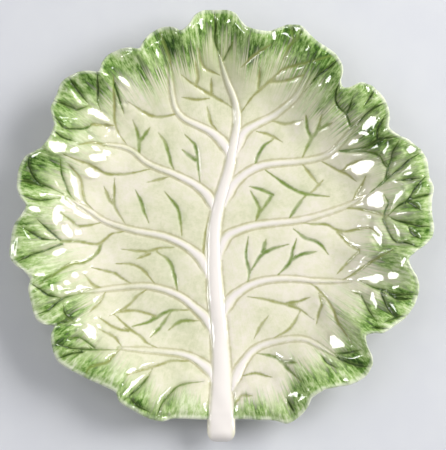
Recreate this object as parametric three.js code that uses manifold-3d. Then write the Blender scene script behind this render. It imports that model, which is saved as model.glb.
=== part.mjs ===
// Leaf-shaped saucer in glazed earthenware: a dished leaf blade with a ruffled, lobed rim, a midrib that
// runs out into a stalk, side ribs laid on the blade on both sides of it, and a foot ring underneath.
// The clay parts are formed apart and luted together with slip, so each one is a solid of its own.
// Millimetres, +Z up. The stalk points along -Y, and the foot stands on the plane Z = 0.
import * as THREE from "three";
import { mergeVertices } from "three/addons/utils/BufferGeometryUtils.js";
import Module from "manifold-3d";

// Leaf blade
const LEAF_RADIUS = 82; // from the leaf's middle to a usual lobe tip
const FLOOR_RADIUS = 46; // flat floor of the dish, where the wall starts to rise
const FLOOR_WALL = 4.2; // thickness of the floor
const RIM_WALL = 2.8; // thickness at the rim
const EDGE_ROUND = 0.9; // how far the rounded rim edge stands out at half its thickness
const RIM_RISE = 15; // mean height of the rim above the floor
const RUFFLE = 5; // how much higher the rim stands at a notch than at a lobe tip
const STALK_DIP = 8; // how much lower the rim lies under the stalk
const STALK_DIP_SPREAD = 28; // degrees either side of the stalk over which the rim comes down
const PUFF = 1.7; // how far the clay swells up between the pleats of the rim
const PUFF_REACH = 3; // distance from a pleat in which the clay swells to about two thirds of that
const PLEAT_ROUND = 1.2; // rounding of the pleats' bottoms

// Foot ring
const FOOT_RADIUS = 34; // outer radius where it stands
const FOOT_WIDTH = 4; // width of the standing face
const FOOT_HEIGHT = 3;
const FOOT_TAPER = 0.8; // the ring is this much wider on each side where it is luted on

// Midrib, stalk and side ribs
const STALK_WIDTH = 10.8; // stalk at its cut end
const MIDRIB_WIDTH = 7.6; // midrib where the stalk's flare ends
const MIDRIB_TIP_WIDTH = 1.2; // midrib at the leaf's top
const MIDRIB_HEIGHT = 3.2; // midrib above the blade at the stalk
const MIDRIB_TIP_HEIGHT = 0.9; // midrib above the blade at the leaf's top
const STALK_REACH = 8; // stalk beyond the leaf's edge
const STALK_BELLY = 4; // depth of the stalk's underside below the leaf's edge
const STALK_END_ROUND = 2; // rounding of the stalk's cut end
const RIB_WIDTH = 3.4; // side rib where it leaves the midrib
const RIB_TIP_WIDTH = 1.4;
const RIB_HEIGHT = 1.7;
const RIB_TIP_HEIGHT = 0.8;
const SEAM = 0.3; // slip-filled joint between luted parts
const SINK = 1; // how deep a rib is set into the blade before the blade is cut away from it

// Fineness of the faceted solids
const STEPS_PER_POINT = 2; // columns of the blade for each point of the rim
const TOP_BANDS = 13;
const UNDER_BANDS = 6;
const MIDRIB_STEPS = 36;
const RIB_STEPS = 14;
const DOME_STEPS = 6;
const SOLE_STEPS = 3;
const FOOT_SEGMENTS = 72;
const SHARE_ROUNDS = 8; // rounds to find how far out on the blade a point lies

// Plan of the leaf, seen from above, about its middle. Angles are in degrees from +X towards +Y, and
// reaches and places in hundredths of LEAF_RADIUS.
// Outermost edge of the leaf: [angle, reach].
const RIM = [
  [0, 99.3], [2.5, 98.9], [5, 99.4], [8.5, 101], [11.5, 99.8], [16, 100.7], [18.5, 99.8], [21, 97.3],
  [23, 95.4], [25, 92.2], [28.5, 89.6], [31, 92.2], [34, 94.6], [37, 95.7], [41, 94.9], [43.3, 93.3],
  [44.6, 91.3], [45.7, 86.5], [47.3, 84.1], [49, 85.5], [50.5, 89.9], [52.5, 92.8], [56.5, 95.2],
  [61, 95.3], [64, 96.5], [68, 99], [71, 97.5], [74, 93.5], [76.5, 91], [79.5, 90.6], [82.5, 91.4],
  [84.5, 94], [86.3, 97.6], [89, 99.1], [94.5, 99.3], [97.5, 97.3], [99.5, 93.5], [102.3, 90.9],
  [104.5, 93.6], [107.5, 95.2], [111, 94.1], [114, 91.5], [116, 89.4], [118.5, 92], [121, 93.7],
  [124.5, 94.6], [127.5, 93.1], [130, 90.6], [132, 93.8], [135, 97.5], [139.5, 99.8], [143, 97.9],
  [147, 96.4], [149, 93.5], [151, 90.4], [154, 89.8], [158, 91.1], [160.5, 94.4], [162.5, 97.6],
  [166.5, 98.8], [171, 97.9], [174, 95.4], [176.5, 92.3], [179, 94.4], [182, 98], [186, 100.1],
  [190, 101.5], [193, 99.3], [195, 96.3], [197.6, 94.6], [200, 96.9], [204, 98.2], [208, 99.4],
  [211, 97.3], [212.8, 93.8], [214.3, 97], [217, 99.9], [221, 102.3], [224, 101.2], [226.5, 99.9],
  [230, 98.4], [234, 96.7], [238.3, 95.7], [241, 98.8], [245, 99.4], [250, 100.1], [253.5, 99.4],
  [256.5, 96.6], [264.5, 94.9], [269.5, 94.7], [275, 94.6], [281, 96.5], [284.5, 98], [288, 101.2],
  [292, 99.6], [294.7, 97], [297, 94.1], [300.5, 93.8], [304, 95.7], [308, 98.9], [312, 100.3],
  [315.5, 98.9], [317.3, 96], [318.6, 91], [320.7, 87.4], [322.5, 89], [324.5, 93], [328, 95.5],
  [332, 98.3], [336.5, 99.3], [340, 98.6], [343, 96], [345.5, 91.7], [347.6, 89.8], [350, 92.3],
  [353, 97], [355.5, 99.7], [357.5, 100.1],
];
// Folds of the rim: [angle of the notch where a lobe starts, how deep it folds, angle of the lobe's tip].
const FOLDS = [
  [11.5, 0.3, 17], [28.5, 1, 37.5], [47.3, 1, 57], [62, 0.3, 68], [79.5, 1, 91.5], [102.3, 1, 108],
  [116, 0.9, 124], [130, 0.9, 140], [154, 1, 166.5], [176.5, 1, 188.5], [197.6, 0.8, 206],
  [212.8, 1, 221], [228.5, 0.3, 232], [238.3, 0.6, 248.5], [262, 0.3, 269.5], [277, 0.3, 289],
  [298.5, 0.9, 312.5], [320.7, 1, 336.5], [347.6, 1, 358], [362.5, 0.3, 368],
];
const WALL_BLUR = 4.5; // degrees over which the notches are averaged out on the wall of the dish
const NOTCH_START = 0.72; // share of the way to the rim where the notches begin
const STALK_ANGLE = 269.5;

// Pleats that gather the rim into puffed folds, from the edge inwards: [x, y].
const PLEATS = [
  [[-72, 66], [-63.5, 55]],
  [[-58.5, 66.5], [-58, 53]],
  [[-51, 65.5], [-51, 54], [-46.5, 37.5]],
  [[-79.5, 48.5], [-74.5, 42.5], [-61.5, 45]],
  [[-91, 30], [-91, 24.5], [-86, 17], [-77, 13]],
  [[-94, 11], [-88.5, 9], [-78.5, 10]],
  [[-76, 26], [-74.5, 17.5], [-70, 10]],
  [[-92, -5], [-85, -9], [-76, -10], [-61, -11]],
  [[-96.5, -20.5], [-89.5, -17], [-80.5, -13.5], [-76, -11]],
  [[-84, -30], [-77, -25], [-66, -20], [-57.5, -11.5]],
  [[-86, -45], [-78.5, -40], [-72.5, -36.5], [-66, -35]],
  [[-79.5, -51], [-71, -47.5], [-58.5, -40]],
  [[-77, -59], [-67.5, -61.5], [-51, -61.5]],
  [[-63.5, -73], [-54.5, -67.5], [-49, -62]],
  [[-44.5, -84], [-36, -75.5], [-34, -72.5]],
  [[-30, -91], [-24.5, -82], [-11, -76.5]],
  [[33.5, -90], [33, -80], [31, -70]],
  [[67, -69.5], [58.5, -67.5], [51, -63]],
  [[52, -69.5], [47.5, -65]],
  [[71.5, -47], [67.5, -40], [63, -34.5]],
  [[81.5, -46.5], [77.5, -41], [75, -33.5], [67, -30]],
  [[90.5, -36], [80, -35.5], [71.5, -32.5]],
  [[79, -15.5], [67, -22.5], [58.5, -27.5]],
  [[90.5, -13], [82.5, -11], [78, -4.5], [76, 0]],
  [[96.5, -4], [86, -1.5], [78.5, 1.5], [70, 4.5]],
  [[94.5, 18.5], [87.5, 9], [79.5, 3]],
  [[91, 29.5], [84, 24], [77.5, 19], [69.5, 12]],
  [[82.5, 35], [80, 28], [77, 19]],
  [[82.5, 38], [73, 37], [66.5, 34], [56, 33]],
  [[76, 54.5], [69, 50], [62, 44]],
  [[54.5, 62], [54.5, 54.5], [59, 50], [61, 44.5]],
  [[55, 75], [45, 67.5], [40, 62]],
  [[38, 90], [32, 82], [30, 77.5]],
  [[21.5, 81], [10.5, 73.5]],
  [[-4, 98], [-3.5, 85], [0, 73.5]],
  [[-29, 87], [-24.5, 73]],
];
const PUFF_START = 0.62; // share of the way to the rim where the clay starts to swell
const PUFF_FULL = 0.88; // share where it has swollen fully
const PUFF_END = 0.93; // share where it starts to come down to the edge

// Midrib from the leaf's lower edge to its top: [x, y].
const MIDRIB = [
  [-0.3, -94],
  [-0.3, -80],
  [-0.4, -67],
  [-1.5, -51],
  [-3.2, -34],
  [-4, -17],
  [-3.7, -4],
  [-1.7, 7],
  [0.7, 16],
  [3.2, 24],
  [5.1, 35],
  [6.8, 44],
  [7.1, 51],
  [5.6, 58.5],
  [2.2, 67],
  [-2, 80],
];
const MIDRIB_TAPER = 1.6; // over 1 keeps the midrib wide along its lower half
const STALK_FLARE = 0.2; // share of the midrib along which it widens into the stalk

// Side ribs from the midrib outwards, numbered from the stalk up: [x, y].
const RIBS = {
  rib_left_1: [[-4, -77], [-6, -71], [-12, -66], [-18, -63.5], [-24.5, -62.5], [-37, -61.5], [-49, -60.5]],
  rib_left_2: [[-5, -54], [-10, -44], [-18, -37], [-30.5, -32], [-38, -31], [-50, -32], [-67, -34.5]],
  rib_left_3: [[-7, -27], [-10, -18], [-18, -11.5], [-30.5, -6.5], [-43, -4.5], [-55, -0.5], [-73, 10.5]],
  rib_left_4: [[-4, 3], [-7, 11.5], [-14, 18], [-24.5, 23], [-36.5, 28], [-43, 33.5], [-57, 36]],
  rib_left_5: [[3, 30], [-1.5, 38.5], [-8, 43.5], [-18, 48.5], [-22.5, 54], [-24, 61], [-25, 75]],
  rib_right_1: [[5, -80], [8.5, -70], [15, -61.5], [25, -57.5], [37, -56], [46, -60], [54, -65]],
  rib_right_2: [[2, -46], [5, -37], [13.5, -31], [26, -28], [39, -28.5], [50, -29.3], [61, -29]],
  rib_right_3: [[-1, -18], [2, -7.5], [12, -3], [27, -1], [42, 1], [56, 5.5], [68, 12]],
  rib_right_4: [[1.5, 7], [5, 17], [13.5, 24], [27, 27.5], [44, 29.5], [55, 35.5], [66, 48]],
  rib_right_5: [[6.5, 31], [9.5, 41], [18, 47], [29, 53.5], [37, 61.5], [41, 70], [43, 77]],
};

const PLAN_UNIT = LEAF_RADIUS / 100;
const FLOOR_Z = FOOT_HEIGHT + FLOOR_WALL;
const FLOOR_SHARE = FLOOR_RADIUS / LEAF_RADIUS;

const mix = (a, b, t) => a + (b - a) * t;
const clamp01 = (t) => Math.min(1, Math.max(0, t));
const radians = THREE.MathUtils.degToRad;

// Point k of the rim, counted on round the leaf.
function rimPoint(k) {
  const turn = Math.floor(k / RIM.length);
  const [angle, reach] = RIM[k - turn * RIM.length];
  return [angle + 360 * turn, reach];
}

// Slope of the rim's curve at point k, level at a notch and at a tip.
function rimSlope(k) {
  const [[a0, r0], [a1, r1], [a2, r2]] = [k - 1, k, k + 1].map(rimPoint);
  const before = (r1 - r0) / (a1 - a0);
  const after = (r2 - r1) / (a2 - a1);
  return before * after > 0 ? (2 * before * after) / (before + after) : 0;
}

// Reach of the rim at an angle: a smooth curve through the rim's points.
function rimReach(angle) {
  const turned = THREE.MathUtils.euclideanModulo(angle, 360);
  const i = RIM.findLastIndex((point) => point[0] <= turned);
  const [[from, fromReach], [to, toReach]] = [rimPoint(i), rimPoint(i + 1)];
  const t = (turned - from) / (to - from);
  const bend = t * (1 - t) * (to - from) * ((1 - t) * rimSlope(i) - t * rimSlope(i + 1));
  return mix(fromReach, toReach, t * t * (3 - 2 * t)) + bend;
}

// The rim's reach averaged over a few degrees.
function blurredReach(angle) {
  let [sum, weights] = [0, 0];
  for (let step = -3; step <= 3; step += 0.5) {
    const weight = Math.exp(-0.5 * step * step);
    sum += weight * rimReach(angle + step * WALL_BLUR);
    weights += weight;
  }
  return sum / weights;
}

// How the rim is folded at an angle: 1 at a lobe's tip, and lower at a notch.
function swellAt(angle) {
  const first = FOLDS[0][0];
  const turned = first + THREE.MathUtils.euclideanModulo(angle - first, 360);
  const i = FOLDS.findLastIndex((fold) => fold[0] <= turned);
  const [from, fromDepth, tip] = FOLDS[i];
  const to = i + 1 < FOLDS.length ? FOLDS[i + 1][0] : first + 360;
  const toDepth = FOLDS[(i + 1) % FOLDS.length][1];
  const rising = turned < tip;
  const t = rising ? (turned - from) / (tip - from) : (to - turned) / (to - tip);
  return 1 - (rising ? fromDepth : toDepth) * (0.5 + 0.5 * Math.cos(Math.PI * t));
}

// The leaf at an angle: reach of the upper face's edge, the smoother reach that the wall of the dish
// follows below it, and the fold of the rim.
function outlineAt(angle) {
  const edge = rimReach(angle) * PLAN_UNIT - EDGE_ROUND;
  const wall = blurredReach(angle) * PLAN_UNIT - EDGE_ROUND;
  return { edge, wall, swell: swellAt(angle) };
}

// Distance from the leaf's middle at a share of the way to the rim.
function reachAt(share, { edge, wall }) {
  return share * mix(wall, edge, THREE.MathUtils.smoothstep(share, NOTCH_START, 1));
}

// How near to the stalk an angle lies: 1 at the stalk.
function stalkNear(angle) {
  const away = THREE.MathUtils.euclideanModulo(angle - STALK_ANGLE + 180, 360) - 180;
  return Math.exp(-((away / STALK_DIP_SPREAD) ** 2));
}

// Height of the smooth blade at an angle and at a share of the way from the middle to the rim. A lobe flares
// out level at its tip, a notch keeps rising to its edge, and the rim dips under the stalk.
function bladeHeight(angle, share, swell) {
  const t = clamp01((share - FLOOR_SHARE) / (1 - FLOOR_SHARE));
  const tip = (RIM_RISE - RUFFLE / 2) * t * t * (3 - 2 * t);
  const notch = (RIM_RISE + RUFFLE / 2) * t ** 1.5;
  return FLOOR_Z + mix(notch, tip, swell) * (1 - (STALK_DIP / RIM_RISE) * stalkNear(angle));
}

// Straight pieces of the pleats, in millimetres.
const pleatLegs = PLEATS.flatMap((line) => {
  const points = line.map(([x, y]) => new THREE.Vector3(x, y, 0).multiplyScalar(PLAN_UNIT));
  return points.slice(1).map((end, k) => new THREE.Line3(points[k], end));
});

// How far the upper face swells above the smooth blade between the pleats.
function puffAt(x, y, angle, share) {
  const point = new THREE.Vector3(x, y, 0);
  const nearest = new THREE.Vector3();
  const gaps = pleatLegs.map((leg) => leg.closestPointToPoint(point, true, nearest).distanceTo(point));
  const gap = Math.hypot(Math.min(...gaps), PLEAT_ROUND) - PLEAT_ROUND;
  const grown = THREE.MathUtils.smoothstep(share, PUFF_START, PUFF_FULL);
  const left = 1 - THREE.MathUtils.smoothstep(share, PUFF_END, 1);
  return PUFF * (1 - Math.exp(-gap / PUFF_REACH)) * grown * left * (1 - stalkNear(angle));
}

// Height of the blade's upper face under a point of the plan, level beyond the rim.
function bladeHeightAt(x, y) {
  const angle = THREE.MathUtils.radToDeg(Math.atan2(y, x));
  const outline = outlineAt(angle);
  let share = Math.min(1, Math.hypot(x, y) / outline.wall);
  for (let k = 0; k < SHARE_ROUNDS; k++) {
    const scale = share > 0 ? reachAt(share, outline) / share : outline.wall;
    share = Math.min(1, Math.hypot(x, y) / scale);
  }
  return bladeHeight(angle, share, outline.swell) + puffAt(x, y, angle, share);
}

// Closed surface through sections of equally many points, closed at both ends by a fan.
function loft(sections) {
  const count = sections[0].length;
  const points = sections.flat();
  const faces = [];
  for (let i = 0; i + 1 < sections.length; i++) {
    for (let j = 0; j < count; j++) {
      const next = (j + 1) % count;
      const [a, b] = [i * count + j, (i + 1) * count + j];
      const [c, d] = [(i + 1) * count + next, i * count + next];
      faces.push(a, b, c, a, c, d);
    }
  }
  const middle = (section) =>
    section.reduce((sum, p) => sum.add(p), new THREE.Vector3()).divideScalar(count);
  const lastStart = (sections.length - 1) * count;
  const [startCentre, endCentre] = [points.length, points.length + 1];
  points.push(middle(sections[0]), middle(sections.at(-1)));
  for (let j = 0; j < count; j++) {
    const next = (j + 1) % count;
    faces.push(startCentre, j, next, endCentre, lastStart + next, lastStart + j);
  }
  return new THREE.BufferGeometry().setFromPoints(points).setIndex(faces);
}

// Angles of the blade's columns: evenly spaced from each point of the rim to the next.
function columnAngles() {
  return RIM.flatMap(([from], i) => {
    const to = rimPoint(i + 1)[0];
    return Array.from({ length: STEPS_PER_POINT }, (_, k) => mix(from, to, k / STEPS_PER_POINT));
  });
}

// Thickness of the blade, measured straight down, so that the wall keeps its thickness on the slope.
function bladeDepth(angle, share, { edge, swell }) {
  const step = 0.01;
  const inner = bladeHeight(angle, share - step, swell);
  const slope = (bladeHeight(angle, share, swell) - inner) / (step * edge);
  const wall = mix(FLOOR_WALL, RIM_WALL, clamp01((share - FLOOR_SHARE) / (1 - FLOOR_SHARE)));
  return wall * Math.hypot(1, slope);
}

// Leaf blade: rings of the upper face from the floor out to the rim, then of the underside back in.
function leafBlade() {
  const columns = columnAngles().map((angle) => ({ angle, ...outlineAt(angle) }));
  const ring = (share, sunk, out) =>
    columns.map(({ angle, ...outline }) => {
      const r = reachAt(share, outline) + out;
      const [x, y] = [r * Math.cos(radians(angle)), r * Math.sin(radians(angle))];
      const top = bladeHeight(angle, share, outline.swell) + (1 - sunk) * puffAt(x, y, angle, share);
      return new THREE.Vector3(x, y, top - sunk * bladeDepth(angle, share, outline));
    });
  const sections = [];
  for (let k = 0; k <= TOP_BANDS; k++) sections.push(ring(mix(FLOOR_SHARE, 1, k / TOP_BANDS), 0, 0));
  sections.push(ring(1, 0.5, EDGE_ROUND));
  for (let k = UNDER_BANDS; k >= 0; k--) sections.push(ring(mix(FLOOR_SHARE, 1, k / UNDER_BANDS), 1, 0));
  return loft(sections);
}

// One section of a rib, seen from behind: a dome that stands on the blade, over a sole with a belly that
// reaches down below the blade's upper face. Grow makes the whole section larger all round.
function ribSection(place, along, { width, height, belly, grow }) {
  const side = new THREE.Vector2(-along.y, along.x);
  const half = width / 2 + grow;
  const at = (across, lift) => {
    const p = place.clone().addScaledVector(side, across * half);
    return new THREE.Vector3(p.x, p.y, bladeHeightAt(p.x, p.y) + lift);
  };
  const section = [];
  for (let k = 0; k <= DOME_STEPS; k++) {
    const turn = (Math.PI * k) / DOME_STEPS;
    section.push(at(-Math.cos(turn), Math.sin(turn) * (height + grow)));
  }
  for (let k = 1; k < SOLE_STEPS; k++) {
    const turn = (Math.PI * k) / SOLE_STEPS;
    section.push(at(Math.cos(turn), -Math.sin(turn) * (belly + grow)));
  }
  return section;
}

const planPoint = ([x, y]) => new THREE.Vector2(x, y).multiplyScalar(PLAN_UNIT);

// Midrib and stalk. The stalk starts STALK_REACH beyond the leaf's edge, with a rounded end, and hangs
// below that edge only once it is clear of it.
function midrib(grow) {
  const edge = rimReach(STALK_ANGLE) * PLAN_UNIT + SEAM;
  const stalkX = MIDRIB[0][0] * PLAN_UNIT;
  const line = new THREE.SplineCurve(MIDRIB.map(planPoint));
  const up = new THREE.Vector2(0, 1);
  const sections = [];
  const stub = edge + STALK_REACH;
  const rounding = [0, 0.35, 1];
  for (const t of rounding) {
    const size = Math.sqrt(1 - (1 - t) ** 2 * 0.5);
    const place = new THREE.Vector2(stalkX, -stub - grow + t * STALK_END_ROUND);
    const form = { width: STALK_WIDTH * size, height: MIDRIB_HEIGHT * size, belly: STALK_BELLY * size, grow };
    sections.push(ribSection(place, up, form));
  }
  const stalkForm = { width: STALK_WIDTH, height: MIDRIB_HEIGHT, grow };
  const clear = new THREE.Vector2(stalkX, -edge - STALK_REACH / 4);
  sections.push(ribSection(clear, up, { ...stalkForm, belly: STALK_BELLY }));
  const rim = new THREE.Vector2(stalkX, -edge);
  sections.push(ribSection(rim, up, { ...stalkForm, belly: 0 }));
  for (let k = 0; k <= MIDRIB_STEPS; k++) {
    const t = k / MIDRIB_STEPS;
    const flare = (1 - clamp01(t / STALK_FLARE)) ** 2;
    const taper = mix(MIDRIB_WIDTH, MIDRIB_TIP_WIDTH, t ** MIDRIB_TAPER);
    const width = taper + (STALK_WIDTH - MIDRIB_WIDTH) * flare;
    const height = mix(MIDRIB_HEIGHT, MIDRIB_TIP_HEIGHT, t);
    sections.push(ribSection(line.getPoint(t), line.getTangent(t), { width, height, belly: SINK, grow }));
  }
  return loft(sections);
}

// Side rib from inside the midrib to its tip on the wall of the dish.
function sideRib(points) {
  const line = new THREE.SplineCurve(points.map(planPoint));
  const sections = [];
  for (let k = 0; k <= RIB_STEPS; k++) {
    const t = k / RIB_STEPS;
    const width = mix(RIB_WIDTH, RIB_TIP_WIDTH, t);
    const height = mix(RIB_HEIGHT, RIB_TIP_HEIGHT, t);
    const form = { width, height, belly: SINK, grow: 0 };
    sections.push(ribSection(line.getPoint(t), line.getTangent(t), form));
  }
  return loft(sections);
}

// Foot ring, wider where it is luted to the blade than where it stands.
function footRing() {
  const inner = FOOT_RADIUS - FOOT_WIDTH;
  const profile = [
    [inner, 0],
    [FOOT_RADIUS, 0],
    [FOOT_RADIUS + FOOT_TAPER, FOOT_HEIGHT],
    [inner - FOOT_TAPER, FOOT_HEIGHT],
    [inner, 0],
  ].map(([x, y]) => new THREE.Vector2(x, y));
  return new THREE.LatheGeometry(profile, FOOT_SEGMENTS).rotateX(Math.PI / 2);
}

// Boolean solids from geometries, and back
const wasm = await Module();
wasm.setup();

function toSolid(geometry) {
  const merged = mergeVertices(geometry);
  const vertProperties = merged.attributes.position.array;
  const triVerts = new Uint32Array(merged.index.array);
  return new wasm.Manifold(new wasm.Mesh({ numProp: 3, vertProperties, triVerts }));
}

function toGeometry(solid) {
  const { vertProperties, triVerts } = solid.getMesh();
  return new THREE.BufferGeometry()
    .setAttribute("position", new THREE.BufferAttribute(vertProperties, 3))
    .setIndex(new THREE.BufferAttribute(triVerts, 1));
}

// The largest piece of a solid, without the slivers that a cut leaves beside it.
function largestPiece(solid) {
  return solid.decompose().reduce((a, b) => (b.volume() > a.volume() ? b : a));
}

// Glazes and clay
const leafGlaze = new THREE.MeshStandardMaterial({ color: 0xc4d09b, roughness: 0.12, metalness: 0 });
const ribGlaze = new THREE.MeshStandardMaterial({ color: 0xefebdf, roughness: 0.12, metalness: 0 });
const bareClay = new THREE.MeshStandardMaterial({ color: 0xe4dcc8, roughness: 0.8, metalness: 0 });

function part(name, geometry, material) {
  const mesh = new THREE.Mesh(geometry, material);
  mesh.name = name;
  return mesh;
}

// The saucer about the leaf's middle
const leaf = new THREE.Group();
const blade = leafBlade();
leaf.add(part("leaf_blade", blade, leafGlaze));
const bladeRoom = toSolid(blade).translate(0, 0, SEAM);
const midribSolid = largestPiece(toSolid(midrib(0)).subtract(bladeRoom));
leaf.add(part("midrib_stalk", toGeometry(midribSolid), ribGlaze));
const midribRoom = toSolid(midrib(SEAM));
for (const [name, points] of Object.entries(RIBS)) {
  const ribSolid = largestPiece(toSolid(sideRib(points)).subtract(bladeRoom).subtract(midribRoom));
  leaf.add(part(name, toGeometry(ribSolid), ribGlaze));
}
leaf.add(part("foot_ring", footRing(), bareClay));

// The middle of its box, on the plane that it stands on, is the part's origin.
const middle = new THREE.Box3().setFromObject(leaf).getCenter(new THREE.Vector3());
leaf.position.set(-middle.x, -middle.y, 0);
const saucer = new THREE.Group();
saucer.add(leaf);

export default saucer;
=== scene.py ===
"""Looks of the leaf saucer around its CAD frame: a glazed leaf blade with veins, ribs and a foot ring."""
import math

import bpy
import numpy as np
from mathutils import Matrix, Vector


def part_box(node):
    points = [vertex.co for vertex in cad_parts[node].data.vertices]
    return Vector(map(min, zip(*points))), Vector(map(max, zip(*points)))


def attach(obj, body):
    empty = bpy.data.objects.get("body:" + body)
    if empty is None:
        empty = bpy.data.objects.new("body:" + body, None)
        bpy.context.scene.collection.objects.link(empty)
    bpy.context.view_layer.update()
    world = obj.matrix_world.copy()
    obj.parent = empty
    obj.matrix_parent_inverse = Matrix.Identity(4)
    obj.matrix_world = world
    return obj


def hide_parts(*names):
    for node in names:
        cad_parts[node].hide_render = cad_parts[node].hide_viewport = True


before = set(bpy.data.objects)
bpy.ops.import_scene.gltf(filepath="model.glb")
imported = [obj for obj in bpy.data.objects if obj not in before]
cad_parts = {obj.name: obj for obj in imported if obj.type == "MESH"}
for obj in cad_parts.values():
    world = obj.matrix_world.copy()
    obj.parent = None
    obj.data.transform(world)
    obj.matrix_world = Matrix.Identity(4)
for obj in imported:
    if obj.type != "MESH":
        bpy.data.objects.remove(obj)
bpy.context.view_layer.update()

# Sizes of the part's solids, in millimetres
LEAF_RADIUS = 82
FLOOR_RADIUS = 46
FLOOR_WALL = 4.2
RIM_WALL = 2.8
EDGE_ROUND = 0.9
RIM_RISE = 15
RUFFLE = 5
STALK_DIP = 8
STALK_DIP_SPREAD = 28
STALK_ANGLE = 269.5
STALK_REACH = 8
STALK_BELLY = 4
STALK_WIDTH = 10.8
MIDRIB_WIDTH = 7.6
MIDRIB_TIP_WIDTH = 1.2
MIDRIB_TAPER = 1.6
STALK_FLARE = 0.2
MIDRIB_HEIGHT = 1.3
MIDRIB_TIP_HEIGHT = 0.5
RIB_WIDTH = 3.4
RIB_TIP_WIDTH = 1.4
RIB_HEIGHT = 0.45
RIB_TIP_HEIGHT = 0.35
SEAM = 0.3
FOOT_RADIUS = 34
FOOT_WIDTH = 4
FOOT_HEIGHT = 3
FOOT_TAPER = 0.8

# Outermost edge of the leaf: degrees from +X towards +Y, and reach in hundredths of the leaf's radius
RIM = (
    (0, 99.3), (2.5, 98.9), (5, 99.4), (8.5, 101), (11.5, 99.8), (16, 100.7), (18.5, 99.8), (21, 97.3),
    (23, 95.4), (25, 92.2), (28.5, 89.6), (31, 92.2), (34, 94.6), (37, 95.7), (41, 94.9), (43.3, 93.3),
    (44.6, 91.3), (45.7, 86.5), (47.3, 84.1), (49, 85.5), (50.5, 89.9), (52.5, 92.8), (56.5, 95.2),
    (61, 95.3), (64, 96.5), (68, 99), (71, 97.5), (74, 93.5), (76.5, 91), (79.5, 90.6), (82.5, 91.4),
    (84.5, 94), (86.3, 97.6), (89, 99.1), (94.5, 99.3), (97.5, 97.3), (99.5, 93.5), (102.3, 90.9),
    (104.5, 93.6), (107.5, 95.2), (111, 94.1), (114, 91.5), (116, 89.4), (118.5, 92), (121, 93.7),
    (124.5, 94.6), (127.5, 93.1), (130, 90.6), (132, 93.8), (135, 97.5), (139.5, 99.8), (143, 97.9),
    (147, 96.4), (149, 93.5), (151, 90.4), (154, 89.8), (158, 91.1), (160.5, 94.4), (162.5, 97.6),
    (166.5, 98.8), (171, 97.9), (174, 95.4), (176.5, 92.3), (179, 94.4), (182, 98), (186, 100.1),
    (190, 101.5), (193, 99.3), (195, 96.3), (197.6, 94.6), (200, 96.9), (204, 98.2), (208, 99.4),
    (211, 97.3), (212.8, 93.8), (214.3, 97), (217, 99.9), (221, 102.3), (224, 101.2), (226.5, 99.9),
    (230, 98.4), (234, 96.7), (238.3, 95.7), (241, 98.8), (245, 99.4), (250, 100.1), (253.5, 99.4),
    (256.5, 96.6), (264.5, 94.9), (269.5, 94.7), (275, 94.6), (281, 96.5), (284.5, 98), (288, 101.2),
    (292, 99.6), (294.7, 97), (297, 94.1), (300.5, 93.8), (304, 95.7), (308, 98.9), (312, 100.3),
    (315.5, 98.9), (317.3, 96), (318.6, 91), (320.7, 87.4), (322.5, 89), (324.5, 93), (328, 95.5),
    (332, 98.3), (336.5, 99.3), (340, 98.6), (343, 96), (345.5, 91.7), (347.6, 89.8), (350, 92.3),
    (353, 97), (355.5, 99.7), (357.5, 100.1),
)
# Folds of the rim: angle of the notch where a lobe starts, how deep it folds, angle of the lobe's tip
FOLDS = (
    (11.5, 0.3, 17), (28.5, 1, 37.5), (47.3, 1, 57), (62, 0.3, 68), (79.5, 1, 91.5), (102.3, 1, 108),
    (116, 0.9, 124), (130, 0.9, 140), (154, 1, 166.5), (176.5, 1, 188.5), (197.6, 0.8, 206),
    (212.8, 1, 221), (228.5, 0.3, 232), (238.3, 0.6, 248.5), (262, 0.3, 269.5), (277, 0.3, 289),
    (298.5, 0.9, 312.5), (320.7, 1, 336.5), (347.6, 1, 358), (362.5, 0.3, 368),
)
# Where the painted rim begins: angle, share of the way from the middle to the edge, how plain the brush's
# hairs show there, and how much paler the paint is than elsewhere
PAINT_START = (
    (0, 0.73, 0.6, 0.02), (20, 0.77, 0.6, 0), (40, 0.76, 0.8, -0.02), (60, 0.765, 0.96, -0.06),
    (80, 0.82, 1, -0.1), (100, 0.83, 1, -0.1), (120, 0.77, 0.95, -0.04), (140, 0.75, 0.6, 0.06),
    (155, 0.77, 0.6, 0.08), (170, 0.73, 0.65, 0.09), (190, 0.72, 0.7, 0.09), (210, 0.74, 0.6, 0.09),
    (225, 0.8, 0.6, 0.12), (245, 0.83, 0.6, 0.08), (258, 0.87, 0.7, 0.03), (269.5, 0.94, 0.5, 0),
    (282, 0.87, 0.8, 0), (292, 0.8, 0.9, 0.02), (305, 0.79, 0.9, 0), (322, 0.75, 0.8, 0.02),
    (340, 0.73, 0.6, 0.02), (360, 0.73, 0.6, 0.02),
)
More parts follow.
